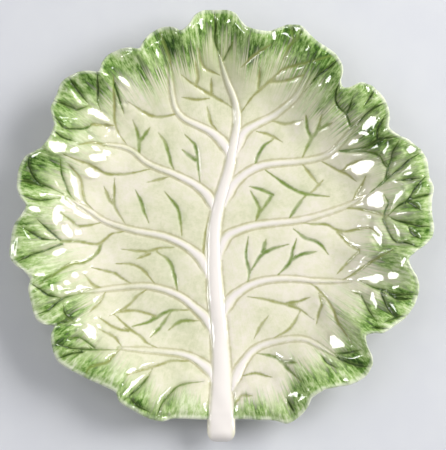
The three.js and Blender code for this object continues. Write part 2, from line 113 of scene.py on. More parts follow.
# Pools of dark paint: angle, share, size in millimetres, strength
POOLS = (
    (3, 0.9, 3, 0.5), (8.5, 0.98, 3, 0.4), (20, 0.86, 3, 0.6), (26, 0.89, 3, 0.9), (31, 0.87, 3, 0.9),
    (41, 0.84, 4, 0.5), (37, 0.76, 4, 0.7), (48, 0.82, 3, 0.6), (57, 0.93, 4, 0.5), (64, 0.9, 5, 0.35),
    (80, 0.87, 4, 0.7), (86, 0.9, 4, 0.4), (101, 0.87, 3.5, 1), (107, 0.9, 4, 0.8), (118, 0.86, 4, 0.9),
    (114, 0.84, 3, 0.7), (121, 0.92, 3, 0.6), (134, 0.94, 4, 0.7), (133, 0.87, 3, 0.5), (148, 0.92, 3, 0.5),
    (161.5, 0.88, 3, 1), (163, 0.94, 5, 0.95), (169, 0.95, 5, 0.8), (183, 0.97, 4, 0.7),
    (188, 0.98, 3, 0.5), (192.5, 0.96, 3, 0.6), (200, 0.9, 2.5, 0.9), (207.5, 0.93, 3, 0.5),
    (212, 0.86, 4, 1), (213.5, 0.9, 2, 1), (217, 0.94, 5, 0.9), (222, 0.94, 3, 0.5), (228, 0.96, 4, 0.7),
    (232.5, 0.97, 3, 0.55), (239, 0.97, 3, 0.5), (246, 0.97, 4, 0.7), (254, 0.9, 3, 0.5),
    (71, 0.93, 4, 0.5), (90, 0.93, 4, 0.35), (96, 0.9, 4, 0.5), (111, 0.93, 4, 0.5), (60, 0.95, 4, 0.4),
    (52, 0.93, 4, 0.4), (120, 0.97, 4, 0.5), (126, 0.94, 4, 0.6), (139, 0.96, 4, 0.5), (145, 0.95, 3, 0.5),
    (104, 0.84, 3, 0.7), (110, 0.85, 3, 0.5), (280, 0.95, 3, 0.6), (294, 0.91, 4, 0.7), (299, 0.94, 4, 0.6),
    (305, 0.95, 3, 0.5), (313, 0.93, 4, 0.8), (320.5, 0.84, 3, 0.5), (325, 0.91, 3, 0.7),
    (331, 0.91, 4, 0.7), (337, 0.93, 3, 0.5), (345, 0.85, 4, 0.6), (350, 0.83, 4, 0.5), (357, 0.97, 4, 0.6),
)

# Centre lines in the leaf's plan: x and y of one point after another, in millimetres from its middle
MIDRIB = (
    -0.3, -77.6, -0.3, -65.6, -0.4, -55, -1.3, -42, -2.6, -28, -3.3, -14, -3, -3.3, -1.4, 5.8, 0.6, 13,
    2.6, 19.8, 4.2, 28.7, 5.6, 36, 5.8, 42, 4.6, 48, 1.8, 55, -1.6, 65.6,
)
RIBS = {
    "rib_left_1": (-3.4, -63, -5, -58.3, -10, -54.2, -15, -52.1, -20, -51.3, -30, -50.5, -40, -49.8),
    "rib_left_2": (
        -4.2, -44, -6, -38.5, -8.3, -36, -11.5, -33.2, -15, -30.3, -20, -27.8, -25, -26.3, -31, -25.5,
        -41, -26.3, -55, -28.3,
    ),
    "rib_left_3": (
        -5.8, -22, -6.8, -17.5, -8.3, -14.8, -11, -12.2, -15, -9.4, -20, -7, -25, -5.5, -35, -3.6,
        -45, -0.5, -52, 4, -60, 8.6,
    ),
    "rib_left_4": (
        -3.2, 2.5, -4, 6.7, -6.5, 10.8, -11, 14.4, -15, 16.5, -20, 18.8, -25, 20.6, -30, 23.1, -35, 27.3,
        -40, 29.1, -47, 29.5,
    ),
    "rib_left_5": (
        2.6, 24, 1.7, 28.3, -1, 32, -5, 35.2, -10, 37.6, -15, 40.2, -18, 43.8, -19.4, 49, -20, 55,
        -20.5, 61.5,
    ),
    "rib_right_1": (
        4, -66, 5.2, -61.5, 7, -57.3, 10, -52.8, 12.5, -50.3, 16, -48.4, 21, -47, 28, -46, 33, -46.6,
        38, -49.2, 44.3, -53.3,
    ),
    "rib_right_2": (
        0.6, -38, 2, -33.3, 4.2, -29.8, 7.5, -27.2, 11, -25.1, 16, -23.5, 22, -22.7, 29, -22.8, 36, -23.5,
        50, -23.8,
    ),
    "rib_right_3": (
        -0.8, -15, -0.2, -10, 2, -6.1, 5, -4.3, 10, -2.5, 15, -1.5, 22, -0.7, 29, 0, 36, 1.6, 43, 3.8,
        50, 6.5, 56, 9.8,
    ),
    "rib_right_4": (
        1.2, 5.7, 2.4, 10.5, 4.2, 14, 7.5, 17.2, 11, 19.7, 16, 21.7, 22, 22.6, 29, 23.1, 36, 24.1, 42, 26.2,
        46, 29.8, 50, 34.6, 54, 39.4,
    ),
    "rib_right_5": (
        5.3, 25.4, 6.2, 29.6, 7.8, 33.4, 10.4, 36.1, 15, 38.6, 20, 41.1, 24, 44, 28, 47.3, 30.6, 51,
        33.4, 57, 35.2, 63,
    ),
}

# Painted veins in the well
GREEN_VEINS = (
    (-32.3, 25.4, -32.5, 30.8, -32.9, 34.2, -34.2, 37.5), (-32.5, 30.8, -31.3, 32, -29.2, 35),
    (-8.8, 17, -9.4, 22.5, -9.8, 26.7, -10.8, 30, -13.3, 32.5), (-10.2, 23.5, -14.2, 26.7),
    (-19, 20.4, -20, 22.9, -21.3, 27.9, -22.5, 31.3, -23.8, 33),
    (-33, 10.4, -31.3, 7, -30.4, 3.8, -29.2, 0.8), (-21.3, 10, -18.8, 7, -17, 4.2, -16.3, 0.8, -15.8, -4),
    (-24.2, -13, -21.3, -15, -19.6, -17.6, -18.8, -20.5, -17.9, -23.8, -17.5, -26.8),
    (-33.3, -40.9, -29, -39.7, -25.8, -38, -22.5, -36, -19.2, -34.9, -15, -34.9),
    (-21.3, -37.6, -22.9, -40, -24.6, -42.2, -26.7, -44.3),
    (-19.4, -41.5, -17.5, -40, -15, -39, -10.8, -39),
    (18.3, 18.8, 20.8, 17, 24.2, 14.6, 27.5, 12.5, 31.3, 10.8, 35, 10.2, 40, 9.6),
    (31.7, 8.8, 29.2, 5.4, 26.7, 1.7), (12.5, 12.9, 15.8, 12, 19.6, 10.2),
    (12, 10, 13.8, 6.7, 14.6, 4.2, 13.3, 0.4), (14.6, 4.2, 15.8, 4.6, 19.2, 9.4),
    (10, -8, 9.4, -12.2, 9.6, -15.5, 10.6, -19.7, 10, -24.3),
    (11.7, -18.8, 13.8, -15.5, 15.4, -13.4, 19.6, -11, 24.2, -9.7), (15.8, -12.2, 16.7, -9),
    (22.5, -20.5, 25, -18, 27, -15, 27.5, -11.8, 28.5, -8.8), (27.9, -14.9, 30.8, -13.2, 35, -12.4),
    (29.2, -4.3, 32.5, -6.8, 36.3, -8, 38.8, -9.7, 40.4, -11.8),
    (12.9, 22, 14.2, 25.8, 16.3, 29.2, 18.8, 31), (31.7, 25.4, 33.8, 30, 35, 32, 37, 35, 38.3, 39.2),
    (35, 32, 33.3, 35.8, 32.9, 39.2), (37.9, 35.4, 41.3, 37),
    (14.2, -51.8, 18.3, -52.6, 21.7, -53.8, 25.6, -57.9, 29.4, -61.6), (23.3, -54.9, 27, -55.3),
)
OLIVE_VEINS = (
    (-5.4, 43, -4.2, 38.3, -3, 36.7),
    (-59.5, 24.2, -55.2, 22.7, -51.4, 21.5, -47.2, 19.2, -43.7, 18.1, -36, 18.5, -30, 19.8),
    (-27.5, 15.4, -22.5, 16.7), (-42, 15, -42, 10.4, -42, 6.3, -40.4, 2.9, -38.8, 0.4),
    (-45.4, 11.7, -43.8, 7.9, -42, 6.3),
    (-58.3, 20, -55.6, 17, -54.5, 13.8, -54.1, 10.4, -53.3, 7.3, -51.4, 5.4),
    (-62.2, -8.4, -55.2, -8.4, -50.2, -9.2, -47.2, -8.6, -43.3, -5.3, -39.8, -4.5),
    (-37.5, -11.3, -33, -11.8, -28.3, -11.8, -24.6, -10.7, -20.4, -10.5), (-31.7, -14.3, -28.3, -13),
    (-39.6, -16.8, -36.3, -16.8, -32.5, -18, -30, -20, -27.5, -23),
    (-49, -18.8, -45, -19.7, -41.7, -20.5, -38.8, -22.6, -35.8, -24.3),
    (-52.2, -22.6, -50.2, -25, -47.5, -26.4, -44.5, -26.6),
    (-30.4, -27.6, -33, -29.3, -35.4, -32, -38.3, -34.3, -42, -36.3),
    (-45.6, -28.4, -46.8, -30.7, -48.3, -33, -49.8, -34.5),
    (-39.6, -35.5, -35, -35, -30.8, -35.7, -25.8, -37.2),
    (-40.8, -37.6, -38.3, -40, -35.4, -42.6, -31.7, -45, -29.2, -47.6, -25.8, -49.3),
    (-46.3, -38.8, -43.3, -40.9, -40, -42.4, -36.7, -43), (-45.8, -43.4, -41.7, -45.5, -40, -47.6),
    (-14.2, -54.7, -20, -54.7, -24.6, -56.3, -30, -58, -35, -59.7),
    (-40, -51, -42.5, -53.4, -44.6, -55.5, -50.6, -57.2, -52.2, -60), (15, 34.6, 18.3, 33.8, 22, 31.7),
    (20.8, 38.8, 25, 37.9, 29.6, 38.8), (32, 21.3, 35, 17.5, 36.3, 15.8), (38.3, 14.6, 35.8, 12),
    (40.4, 22.3, 44.5, 20, 48.7, 18, 51, 16.2), (47.5, 20, 49.5, 21.5, 53, 23),
    (51.4, 8.8, 53, 11.5, 54.5, 13.8, 55.2, 15.4), (47.5, 5, 52.5, 4.6, 57.5, 3.5, 61, 2.3, 62.9, 1.2),
    (30, -0.5, 35, -1.3, 40.8, -1.5, 44.2, -3.4, 47.7, -4.2, 50.8, -3.8, 57, -3, 59.6, -5),
    (45, -4.5, 47, -6.8, 49.6, -9.5, 53, -11.5), (53, -12.6, 50.8, -14.5, 48.5, -16.8, 46, -19.5),
    (48, -22.6, 51.5, -20.7, 55, -18.4, 58.5, -16, 64.6, -12.6),
    (32.5, -23.6, 36.2, -25.7, 39.2, -28.8, 41.5, -31.8, 43.5, -35.7, 44.6, -39.5, 49.2, -46.8),
    (11.7, -29.9, 15.8, -30.5, 20, -31.5, 24.6, -32.6, 30.4, -34.7, 34.2, -37.6),
    (25, -32.2, 29.6, -31.5, 32.5, -30.5), (38, -30, 38.8, -32.6, 37.7, -35.7, 37, -38.8),
    (29.6, -36.8, 27.9, -40, 25.4, -42.8, 21.7, -44.9), (13.3, -44.3, 15, -40.9, 17, -38.4),
    (8.8, -60.3, 12.9, -59.5, 17.5, -60.6), (6, -70, 7.5, -68.2, 10, -68.2),
    (-36, 28.5, -40, 29.2, -45.4, 29.2, -50, 30.2, -54, 29.2),
    (-38, 30.8, -40.2, 33.8, -41.8, 38.5, -41.8, 44.6, -42, 53.8), (-50.6, 37, -47.5, 37, -43.7, 37),
    (-17.5, 41.9, -22.5, 40.8, -26.7, 40.8, -30, 42, -35, 45),
    (4, 44.3, 0, 46.8, -3.8, 49, -7.5, 51, -11.9, 53.5, -14.4, 55.4), (-10, 53.5, -9.4, 56, -10, 59.8),
    (6.5, 41, 10, 46, 12.5, 49, 16.3, 52.3, 20.6, 56, 23.8, 58.5, 28, 59.7, 34.4, 61, 45, 64),
    (18.5, 54, 23.8, 54.2, 27.9, 55, 31.3, 56), (14.2, 51.7, 14.6, 57.5),
    (-13.8, 47.9, -10, 47.3, -6.7, 47.7), (-4.2, 53.8, -4.2, 50.4),
    (-8.8, 64.8, -8.1, 61.6, -6.3, 59, -2.5, 57.3), (-5.6, -0.5, -6.9, -7.6, -7.4, -14.7),
    (17.5, 66.6, 12.5, 63.5, 8.8, 60.4), (-23.8, 71.6, -22.5, 67.9, -20.6, 63.5, -20, 60),
    (26.9, 74.7, 27.5, 70.4), (31.3, 74.1, 29.4, 70.4, 26.3, 67.3, 24.4, 63.5),
    (-61, 1.5, -58, -0.8, -56.5, -2.2, -53, -2.2, -49, -1.2),
)
# Soft painted veins without a groove
SOFT_VEINS = (
    (-47.2, -9.5, -48.3, -12.2, -50.6, -14.5, -54, -16.5, -58.3, -17.2, -63, -20.3, -68.7, -24.5),
)
# Deep creases of the ruffled rim
RIM_VEINS = (
    (-59, 54.2, -56.8, 50.8, -52, 45), (-48.1, 54.6, -48, 50, -48.3, 46, -47.5, 43.5),
    (-41.8, 52.3, -40.2, 47.7, -38.7, 43), (-65, 45.4, -62, 44.6, -57.5, 43, -56.4, 42.4, -52.2, 43.7),
    (-65.2, 39.6, -62.9, 37.3, -61, 35, -56.7, 35, -53.3, 35.4, -50.6, 37),
    (-64, 33, -61.5, 31.2, -58.3, 30.4),
    (-74.5, 24.6, -74.6, 20, -72.5, 15.8, -70.6, 13.8, -66.8, 12.3, -63, 10.5),
    (-78.3, 14.6, -74.5, 14.2, -69.5, 12.7), (-77.2, 8.8, -72.5, 7.3, -68.7, 7.3, -64.5, 8),
    (-62.5, 21.5, -62.2, 17.7, -61, 14.2, -59.5, 10.4, -57.5, 8),
    (-75.6, -4.2, -72.5, -6.1, -69.8, -7.6, -66, -8), (-69.8, -1.7, -67.5, -3.8, -64.5, -6.5, -62.2, -8.4),
    (-62.2, -9.5, -66, -11.1, -69.5, -12.6, -73.3, -13.8, -76, -15.3, -79, -16.8),
    (-72.2, -26, -69.8, -27.6, -67.2, -29.5, -63.3, -30.3),
    (-70.6, -36.8, -66.8, -35.3, -64.5, -33, -61.4, -30.7, -59.5, -30, -54, -28.6),
    (-61, -34.5, -60.6, -36.5, -58.3, -38.8), (-65.2, -41.8, -62.2, -40.3, -59.8, -40),
    (-63.3, -48.4, -59.8, -49.7, -55.2, -50.3, -49, -50.5, -41.8, -50.5),
    (-62.5, -53.8, -58.3, -52.2, -54, -51.5), (-57.2, -46, -54.5, -46, -51.4, -48, -49.3, -49.7),
    (-27.8, -59.4, -29.4, -62, -32.5, -65.4, -36.6, -69.1),
    (-9, -62.9, -13.8, -63.5, -17.5, -64.8, -20, -67.3, -23.1, -71, -24.7, -74.8),
    (-35, -69.8, -32.5, -72.3, -29.4, -73.8), (50.2, 45.8, 49.5, 43.5, 48.5, 40.8, 49.3, 38.5, 49.8, 36.5),
    (48.5, 40.8, 44.5, 44.6, 44, 48.5, 44.8, 51), (50.6, 36.2, 53.3, 38, 56.4, 41.2, 59, 43, 62.5, 44.6),
    (55.6, 44.6, 57.5, 47.3, 59, 49.6),
    (46, 27, 50.2, 27.3, 54.5, 27.7, 57.5, 28.8, 60, 30.4, 63.7, 31, 67.5, 31.3),
    (60, 30.4, 60.2, 34.6, 62, 38),
    (46.3, 26.9, 50.2, 26.5, 54.5, 26.5, 58.3, 25.8, 61, 24.6, 62.5, 22, 63.7, 20.4),
    (67.5, 28.5, 66, 25.8, 65.6, 23, 64.5, 20.4, 63.3, 15.4),
    (74.8, 24.2, 72.2, 22.7, 69, 19.6, 66, 17.3, 63.7, 15.4, 60.6, 13, 56.8, 10),
    (77.5, 15, 74.5, 11.5, 71.8, 7.3, 68, 5, 65.2, 2.3), (72.2, 7.3, 76.8, 8.5, 80.6, 9.6),
    (71.8, 6.5, 73.7, 5.4, 75.2, 4.2), (63.7, 8, 64.5, 6.2, 63.3, 3.5, 62.9, 0.8), (68.7, 15, 74.5, 15.4),
    (64.6, 1.2, 67, -0.3, 70.4, -1.3, 73.5, -2.2, 76.2, -3, 79.2, -3.2),
    (62.5, 0, 64.2, -3.8, 65.8, -7.2, 67.7, -9.2, 70.8, -9.3, 74.2, -10.7),
    (72.3, -3.8, 73.5, -6, 75.4, -7.2),
    (55, -24.5, 58.8, -26.5, 62.7, -27.6, 65.8, -29.2, 70, -29.5, 74.2, -29.5),
    (61.5, -27.6, 62, -30, 63.5, -33.8, 65.4, -36.5, 67, -38), (64.6, -29.2, 67.7, -31, 72, -31),
    (51.5, -28.4, 53.8, -29.5, 55.4, -32.6, 57, -36, 58.5, -38.4), (63.8, -39.5, 67.7, -38, 70.4, -37.6),
    (58.5, -42.2, 62.7, -42.6), (42, -51.8, 45, -53.8, 48, -55.3, 51.5, -56.5, 55, -57),
    (38.8, -53.4, 40.4, -55.3, 42.7, -56.8), (44.6, -51.8, 47.7, -51.8, 51.5, -51),
    (-3.1, 80.4, -2.5, 74.7, -2.8, 69.8, -1.2, 64.8, 0, 60.4), (3.4, 67.3, 1.9, 64.7, 0.6, 62.3),
    (45, 61.6, 40.6, 58, 36.9, 55.4, 33, 51), (25.6, -70.4, 27.5, -74),
)

# Camera, in metres round the middle of the leaf, and the photograph's frame
CAMERA_DISTANCE = 1.1
CAMERA_ELEVATION = 86
CAMERA_AIM = (0.00039, -0.00194, 0.011)
SENSOR_WIDTH = 36
IMAGE_HEIGHT = 450
MM_PER_PIXEL = 0.3886
# Lamps round the middle of the leaf: place and side in metres, power in watts, whether it lights what it
# shines on, and whether the glaze mirrors it
RIGHT_LAMP = (0.92, 0.06, 0.75)
LEFT_LAMP = (-0.85, 0.05, 0.75)
LAMPS = {
    "key_softbox": ((0.85, 0.34, 0.75), 0.7, 14.2, True, False),
    "fill_softbox": ((-0.5, 0.15, 0.95), 0.9, 3.2, True, False),
    "right_softbox": (RIGHT_LAMP, 0.26, 4.6, False, True),
    "left_softbox": (LEFT_LAMP, 0.28, 5.4, False, True),
}
AIR_COLOUR = (0.95, 0.97, 1.0, 1.0)
AIR_STRENGTH = 0.34
FLOOR_SIZE = 3.0
FLOOR_CELLS = 24

# Smooth patches of the glaze that mirror a lamp to the camera: x, y, half length, half width, and the angle
# of the long side
RIGHT_GLINTS = (
    (-63.5, 27.4, 3.5, 2.3, 0), (-57, 26.6, 1.9, 1.3, 0), (-50, 29.5, 4, 1.5, -60),
    (-48.8, 24.3, 3, 1.8, 0), (-50.6, 18.5, 3.2, 1.8, 0), (-56.8, 13.5, 6, 1.3, -68),
    (-63.5, 0.8, 4.6, 2.4, 90), (-60, 7, 3.5, 2, -25), (-60, -4.6, 3.2, 1.7, -50),
    (-72, 3.2, 2.8, 1.4, -10), (-65.5, -6.8, 4, 1.1, -40), (-65, -10.3, 3.8, 0.9, 15),
    (-63.2, -12.6, 2.8, 1.6, 20), (-70, -21.8, 3, 0.9, 0), (-65.5, -26.5, 1.5, 0.9, 90),
    (-57, -21.5, 1.6, 1.3, 90), (-60, -24.5, 1.3, 1.3, 0), (-56, -28, 5, 0.9, 5), (-60.3, -33, 2, 0.9, 60),
    (-48.2, -30.6, 2.2, 1.2, 45), (-48.7, -38.5, 1.2, 1, 90), (-50.8, -43.3, 3.6, 2.4, -45),
    (-47.5, -41.8, 2.2, 0.9, -60), (-56, -41, 2.5, 0.8, 0), (-54.5, -47, 1.8, 0.8, -25),
    (-45.5, 55.8, 2.4, 0.9, -25), (-38, 53.6, 3.4, 1.5, -45), (-38, 44.8, 1.3, 0.9, 10),
    (-57, 48, 4.2, 0.9, -48), (-48, 41, 5, 1.6, -35), (-25, 64.2, 2.6, 0.8, -80), (-8, 75.3, 2.6, 1, 90),
    (-34.5, -58.8, 3.3, 0.9, 10), (-34.2, -64.2, 5.6, 1.2, 47), (-22.5, -76.6, 1.8, 0.8, 20),
)
LEFT_GLINTS = (
    (56.5, 37, 3.5, 1.6, 45), (51, 30, 2.5, 1, 25), (55, 33, 2.5, 0.9, -10), (58.5, 27.7, 2.2, 1.2, 30),
    (63.2, 26.7, 3.8, 1.2, 70), (73, 26.8, 2.4, 1.8, 0), (55, 20.3, 4, 2.7, 20), (71.7, 17.3, 2.2, 0.9, 15),
    (60, 7.4, 3.5, 2.9, 0), (68, 8.6, 3.4, 0.9, 55), (60.2, -6.2, 4.2, 1.9, -75),
    (64.7, -2.6, 3.6, 0.8, -68), (67.6, -4.5, 3.2, 0.9, -65), (62, -13.6, 2.6, 0.9, 25),
    (69.6, -17.3, 2.3, 1, 65), (59, -22.5, 6, 0.9, 3), (65.8, -22, 2.2, 1.8, 0),
    (66.7, -26.6, 1.5, 0.8, 20), (58.7, -31.2, 3.8, 1.4, -80), (66.3, -34.5, 3.6, 0.9, -68),
    (63.8, -30, 2.6, 0.8, -45), (44.6, -48.2, 3.8, 2.3, -60), (45.2, -51.2, 2.8, 0.8, 0),
    (46.5, -53.5, 1.5, 0.8, 15), (41, 53.7, 2, 0.9, 55), (20.4, 70.6, 1.9, 1.5, 90),
    (29, 73.8, 2.2, 1.5, 0), (2.6, 76.5, 1.2, 0.8, 60), (56.7, 49.7, 2.4, 1.4, -45),
    (31, -69.2, 2.6, 1, 35), (47.4, -62.2, 1.6, 1.1, 0), (74.5, -21, 1.6, 1, 60), (74.3, -31, 1.6, 0.9, 60),
)
# Patches that are tilted out of a lamp's reflection, in the same order
RIGHT_DULL = ((-53.3, -13.6, 4.5, 2.4, 30), (-47.8, 35, 3.5, 2, 0), (-60.8, 40.1, 2.5, 1.5, 0))
LEFT_DULL = (
    (66.4, 11.4, 4.2, 3.4, 0), (28.3, 66, 4.5, 2.5, 25), (55.4, -0.9, 2.5, 2, 0), (50.9, -17.4, 2.8, 2, 0),
)
# Patches: how far a slope may miss the lamp, how far a dull one stays clear of it, the step that a slope is
# read over, and how the border fades and wanders
GLINT_EASE = 0.025
DULL_TILT = 0.16
GLINT_STEP = 1.5
GLINT_FADE = (1.5, 1.0)
RAGGED = 0.25
RAGGED_FINENESS = 3

# Relief of the blade, in millimetres
PILLOW = 0.3
RIM_PILLOW = 1.5
PILLOW_REACH = 3.0
WAVES = 0.2
CRUMPLE = 0.25
CREASE_DEPTH = 0.22
CREASE_WIDTH = 0.5
CREASE_OUT = 0.25
CREASE_TAIL = 0.8
LIP = 0.8
# Share of a pillow that is left at the edge, fineness of the crumple against the waves, paleness of the lip
# (pale glaze with a painted highlight line along it), and degrees on each side of the stalk without a lip
EDGE_PILLOW = 0.35
CRUMPLE_FINENESS = 1.7
LIP_PALE_AND_HIGHLIGHT = 0.6
LIP_GAP = 7
# Where each form of the rim begins and is full, in shares of the way from the middle to the edge
RIM_BAND = (0.62, 0.88)
CRUMPLE_BAND = (0.66, 0.85)
EDGE_BAND = (0.965, 1.0)
LIP_BAND = (0.94, 1.0)
LIP_PALE_AND_HIGHLIGHT_BAND = (0.985, 1.0)
UNDER_BAND = (0.86, 1.0)
# Ribs laid on the blade, in millimetres
RIB_SUNK = 0.6
RIB_LIFT = 0.05
RIB_DIVE = 0.4
RIB_BED = 0.2
BED_BAND = (0.5, 1.3)
RIB_BORDER = (-0.2, 0.4)
RIB_REACH = 9
JOIN_REACH = 6
SOLE_BELLY = 0.25
ROOT_FADE = 6
ROOT_END = 16
TIP_FADE = 8
END_DIVE = 1.5
# The same in shares of a rib's width or height, and the power by which ribs that meet are blended
ROOT_WIDTH = 0.4
ROOT_FLARE = 1.3
ROOT_RISE = 0.3
TIP_LEAST = 0.04
DIVE_BAND = (0.78, 1.0)
JOIN_BAND = (1.0, 0.8)
RIDGE_BLEND = 4
# Stalk past the rim: where it hangs free before the blade, points of its line, length of its rounded end,
# scale of the cut face, drop of its top, and stations along the end
HANG_BAND = (0.8, 3.0)
STALK_POINTS = 4
ROUND_END = 4.2
END_SCALE = 0.36
END_DROP = 5.5
END_STATIONS = (0.0, 0.06, 0.2, 0.45, 0.8, 1.2, 1.7, 2.3, 3.0, 3.6)
# Paint: least amount, weight of paleness, length of a pool to its width, how the stalk stays clear of it, the
# amount on its free end, and the radius at which the strokes' coordinates are true to scale
PAINT_LEAST = -1.5
PALE_WEIGHT = 2.4
POOL_LENGTH = 1.5
STALK_CLEAR = 3
STALK_CLEAR_SPREAD = 12
UNPAINTED = -1
EDGE_SHARE = 0.999
FLOW_RADIUS = 60
# Kinds of vein: centre lines, depth in the well and at the rim, half widths of groove and paint, and tone,
# which runs from olive 0 to dark green 1
VEIN_KINDS = (
    (OLIVE_VEINS, 0.24, 0.42, 0.75, 0.58, 0.2),
    (GREEN_VEINS, 0.28, 0.6, 0.85, 0.74, 0.68),
    (RIM_VEINS, 0.5, 1.1, 0.62, 0.4, 0.9),
    (SOFT_VEINS, 0.08, 0.12, 0.9, 0.8, 0.4),
)
# Ends of the veins, how far their paint and their wash of colour spread, and a length beyond all others
VEIN_TAIL = 1.6
VEIN_JOIN = 1.2
VEIN_REACH = 7
VEIN_TAPER = 0.36
THIN_END = 0.4
FAINT_END = 0.5
GAP_TAIL = 1.5
PAINT_SPREAD = 0.8
WASH_SPREAD = 3.6
FAR = 1e3

# Fineness of the meshes and of the sums behind them
BLADE_CELLS = 284
UNDER_RINGS = 9
EDGE_RINGS = 5
PATH_STEP = 0.6
TOP_POINTS = 22
SOLE_POINTS = 10
RIB_STATIONS = 24
MIDRIB_STATIONS = 240
FOOT_SEGMENTS = 180
PLACE_ROUNDS = 8
SLOPE_STEP = 0.01


def mix(a, b, t):
    return a + (b - a) * t


def smooth(low, high, value):
    t = np.clip((value - low) / (high - low), 0, 1)
    return t * t * (3 - 2 * t)


def points_of(row):
    """Points of the plan from a row of x and y."""
    return np.reshape(np.array(row, float), (-1, 2))


# Plan of the leaf
FLOOR_Z = FOOT_HEIGHT + FLOOR_WALL
FLOOR_SHARE = FLOOR_RADIUS / LEAF_RADIUS
ANGLE_STEP = 0.25


def rim_curve(angle):
    """Smooth closed curve through the rim's points, without overshoot."""
    points = np.array(RIM, float)
    a = np.concatenate([points[-1:, 0] - 360, points[:, 0], points[:2, 0] + 360])
    r = np.concatenate([points[-1:, 1], points[:, 1], points[:2, 1]])
    steps = np.diff(r) / np.diff(a)
    before, after = steps[:-1], steps[1:]
    slope = np.where(before * after > 0, 2 * before * after / (before + after + 1e-9), 0)
    i = np.clip(np.searchsorted(a, angle, side="right") - 1, 1, len(a) - 3)
    h = a[i + 1] - a[i]
    t = (angle - a[i]) / h
    start = (2 * t ** 3 - 3 * t ** 2 + 1) * r[i] + (t ** 3 - 2 * t ** 2 + t) * slope[i - 1] * h
    end = (3 * t ** 2 - 2 * t ** 3) * r[i + 1] + (t ** 3 - t ** 2) * slope[i] * h
    return start + end


def fold_curve(angle):
    """1 on the lobes, lower in the notches between them."""
    notches = np.array([fold[0] for fold in FOLDS] + [FOLDS[0][0] + 360], float)
    depths = np.array([fold[1] for fold in FOLDS] + [FOLDS[0][1]], float)
    tips = np.array([fold[2] for fold in FOLDS], float)
    turned = notches[0] + np.mod(angle - notches[0], 360)
    i = np.clip(np.searchsorted(notches, turned, side="right") - 1, 0, len(tips) - 1)
    rising = turned < tips[i]
    rise = (turned - notches[i]) / (tips[i] - notches[i])
    fall = (notches[i + 1] - turned) / (notches[i + 1] - tips[i])
    t = np.clip(np.where(rising, rise, fall), 0, 1)
    return 1 - np.where(rising, depths[i], depths[i + 1]) * (0.5 + 0.5 * np.cos(np.pi * t))


def blurred(values, degrees):
    """The closed curve averaged over a few degrees."""
    reach = int(3 * degrees / ANGLE_STEP)
    weights = np.exp(-0.5 * (np.arange(-reach, reach + 1) * ANGLE_STEP / degrees) ** 2)
    closed = np.concatenate([values[-reach:], values, values[:reach]])
    return np.convolve(closed, weights / weights.sum(), mode="valid")


WALL_BLUR = 4.5
FOLD_BLUR = 1.0
NOTCH_START = 0.72
ROUND = np.arange(0, 360, ANGLE_STEP)
EDGE = rim_curve(ROUND) * LEAF_RADIUS / 100 - EDGE_ROUND
INNER_EDGE = blurred(EDGE, WALL_BLUR)
FOLD = blurred(fold_curve(ROUND), FOLD_BLUR)


def around(curve, angle):
    return np.interp(np.mod(angle, 360), np.append(ROUND, 360), np.append(curve, curve[0]))


def from_stalk(angle):
    return np.mod(angle - STALK_ANGLE + 180, 360) - 180


def near_stalk(angle, spread):
    return np.exp(-((from_stalk(angle) / spread) ** 2))


def blade_height(angle, share, fold):
    """Height of the smooth blade at a share of the way from the middle to the edge."""
    t = np.clip((share - FLOOR_SHARE) / (1 - FLOOR_SHARE), 0, 1)
    tip = (RIM_RISE - RUFFLE / 2) * t * t * (3 - 2 * t)
    notch = (RIM_RISE + RUFFLE / 2) * t ** 1.5
    rise = 1 - STALK_DIP / RIM_RISE * near_stalk(angle, STALK_DIP_SPREAD)
    lip = LIP * smooth(*LIP_BAND, share) * (1 - near_stalk(angle, LIP_GAP))
    return FLOOR_Z + mix(notch, tip, fold) * rise - lip


def reach_at(share, angle):
    return mix(around(INNER_EDGE, angle), around(EDGE, angle), smooth(NOTCH_START, 1.0, share))


def place(x, y):
    """Angle, share and fold under points of the plan."""
    angle = np.degrees(np.arctan2(y, x))
    r = np.hypot(x, y)
    share = np.clip(r / around(INNER_EDGE, angle), 0, 1)
    for _ in range(PLACE_ROUNDS):
        share = np.clip(r / reach_at(share, angle), 0, 1)
    return angle, share, around(FOLD, angle)


# From the plan to the frame
MM = 0.001
edge_x = (EDGE + EDGE_ROUND) * np.cos(np.radians(ROUND))
edge_y = (EDGE + EDGE_ROUND) * np.sin(np.radians(ROUND))
blade_low, blade_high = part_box("leaf_blade")
MIDDLE = Vector((
    (blade_high.x + blade_low.x) / 2 - MM * (edge_x.max() + edge_x.min()) / 2,
    (blade_high.y + blade_low.y) / 2 - MM * (edge_y.max() + edge_y.min()) / 2,
    0.0,
))


def to_frame(points):
    return np.asarray(points, float) * MM + np.array(MIDDLE)


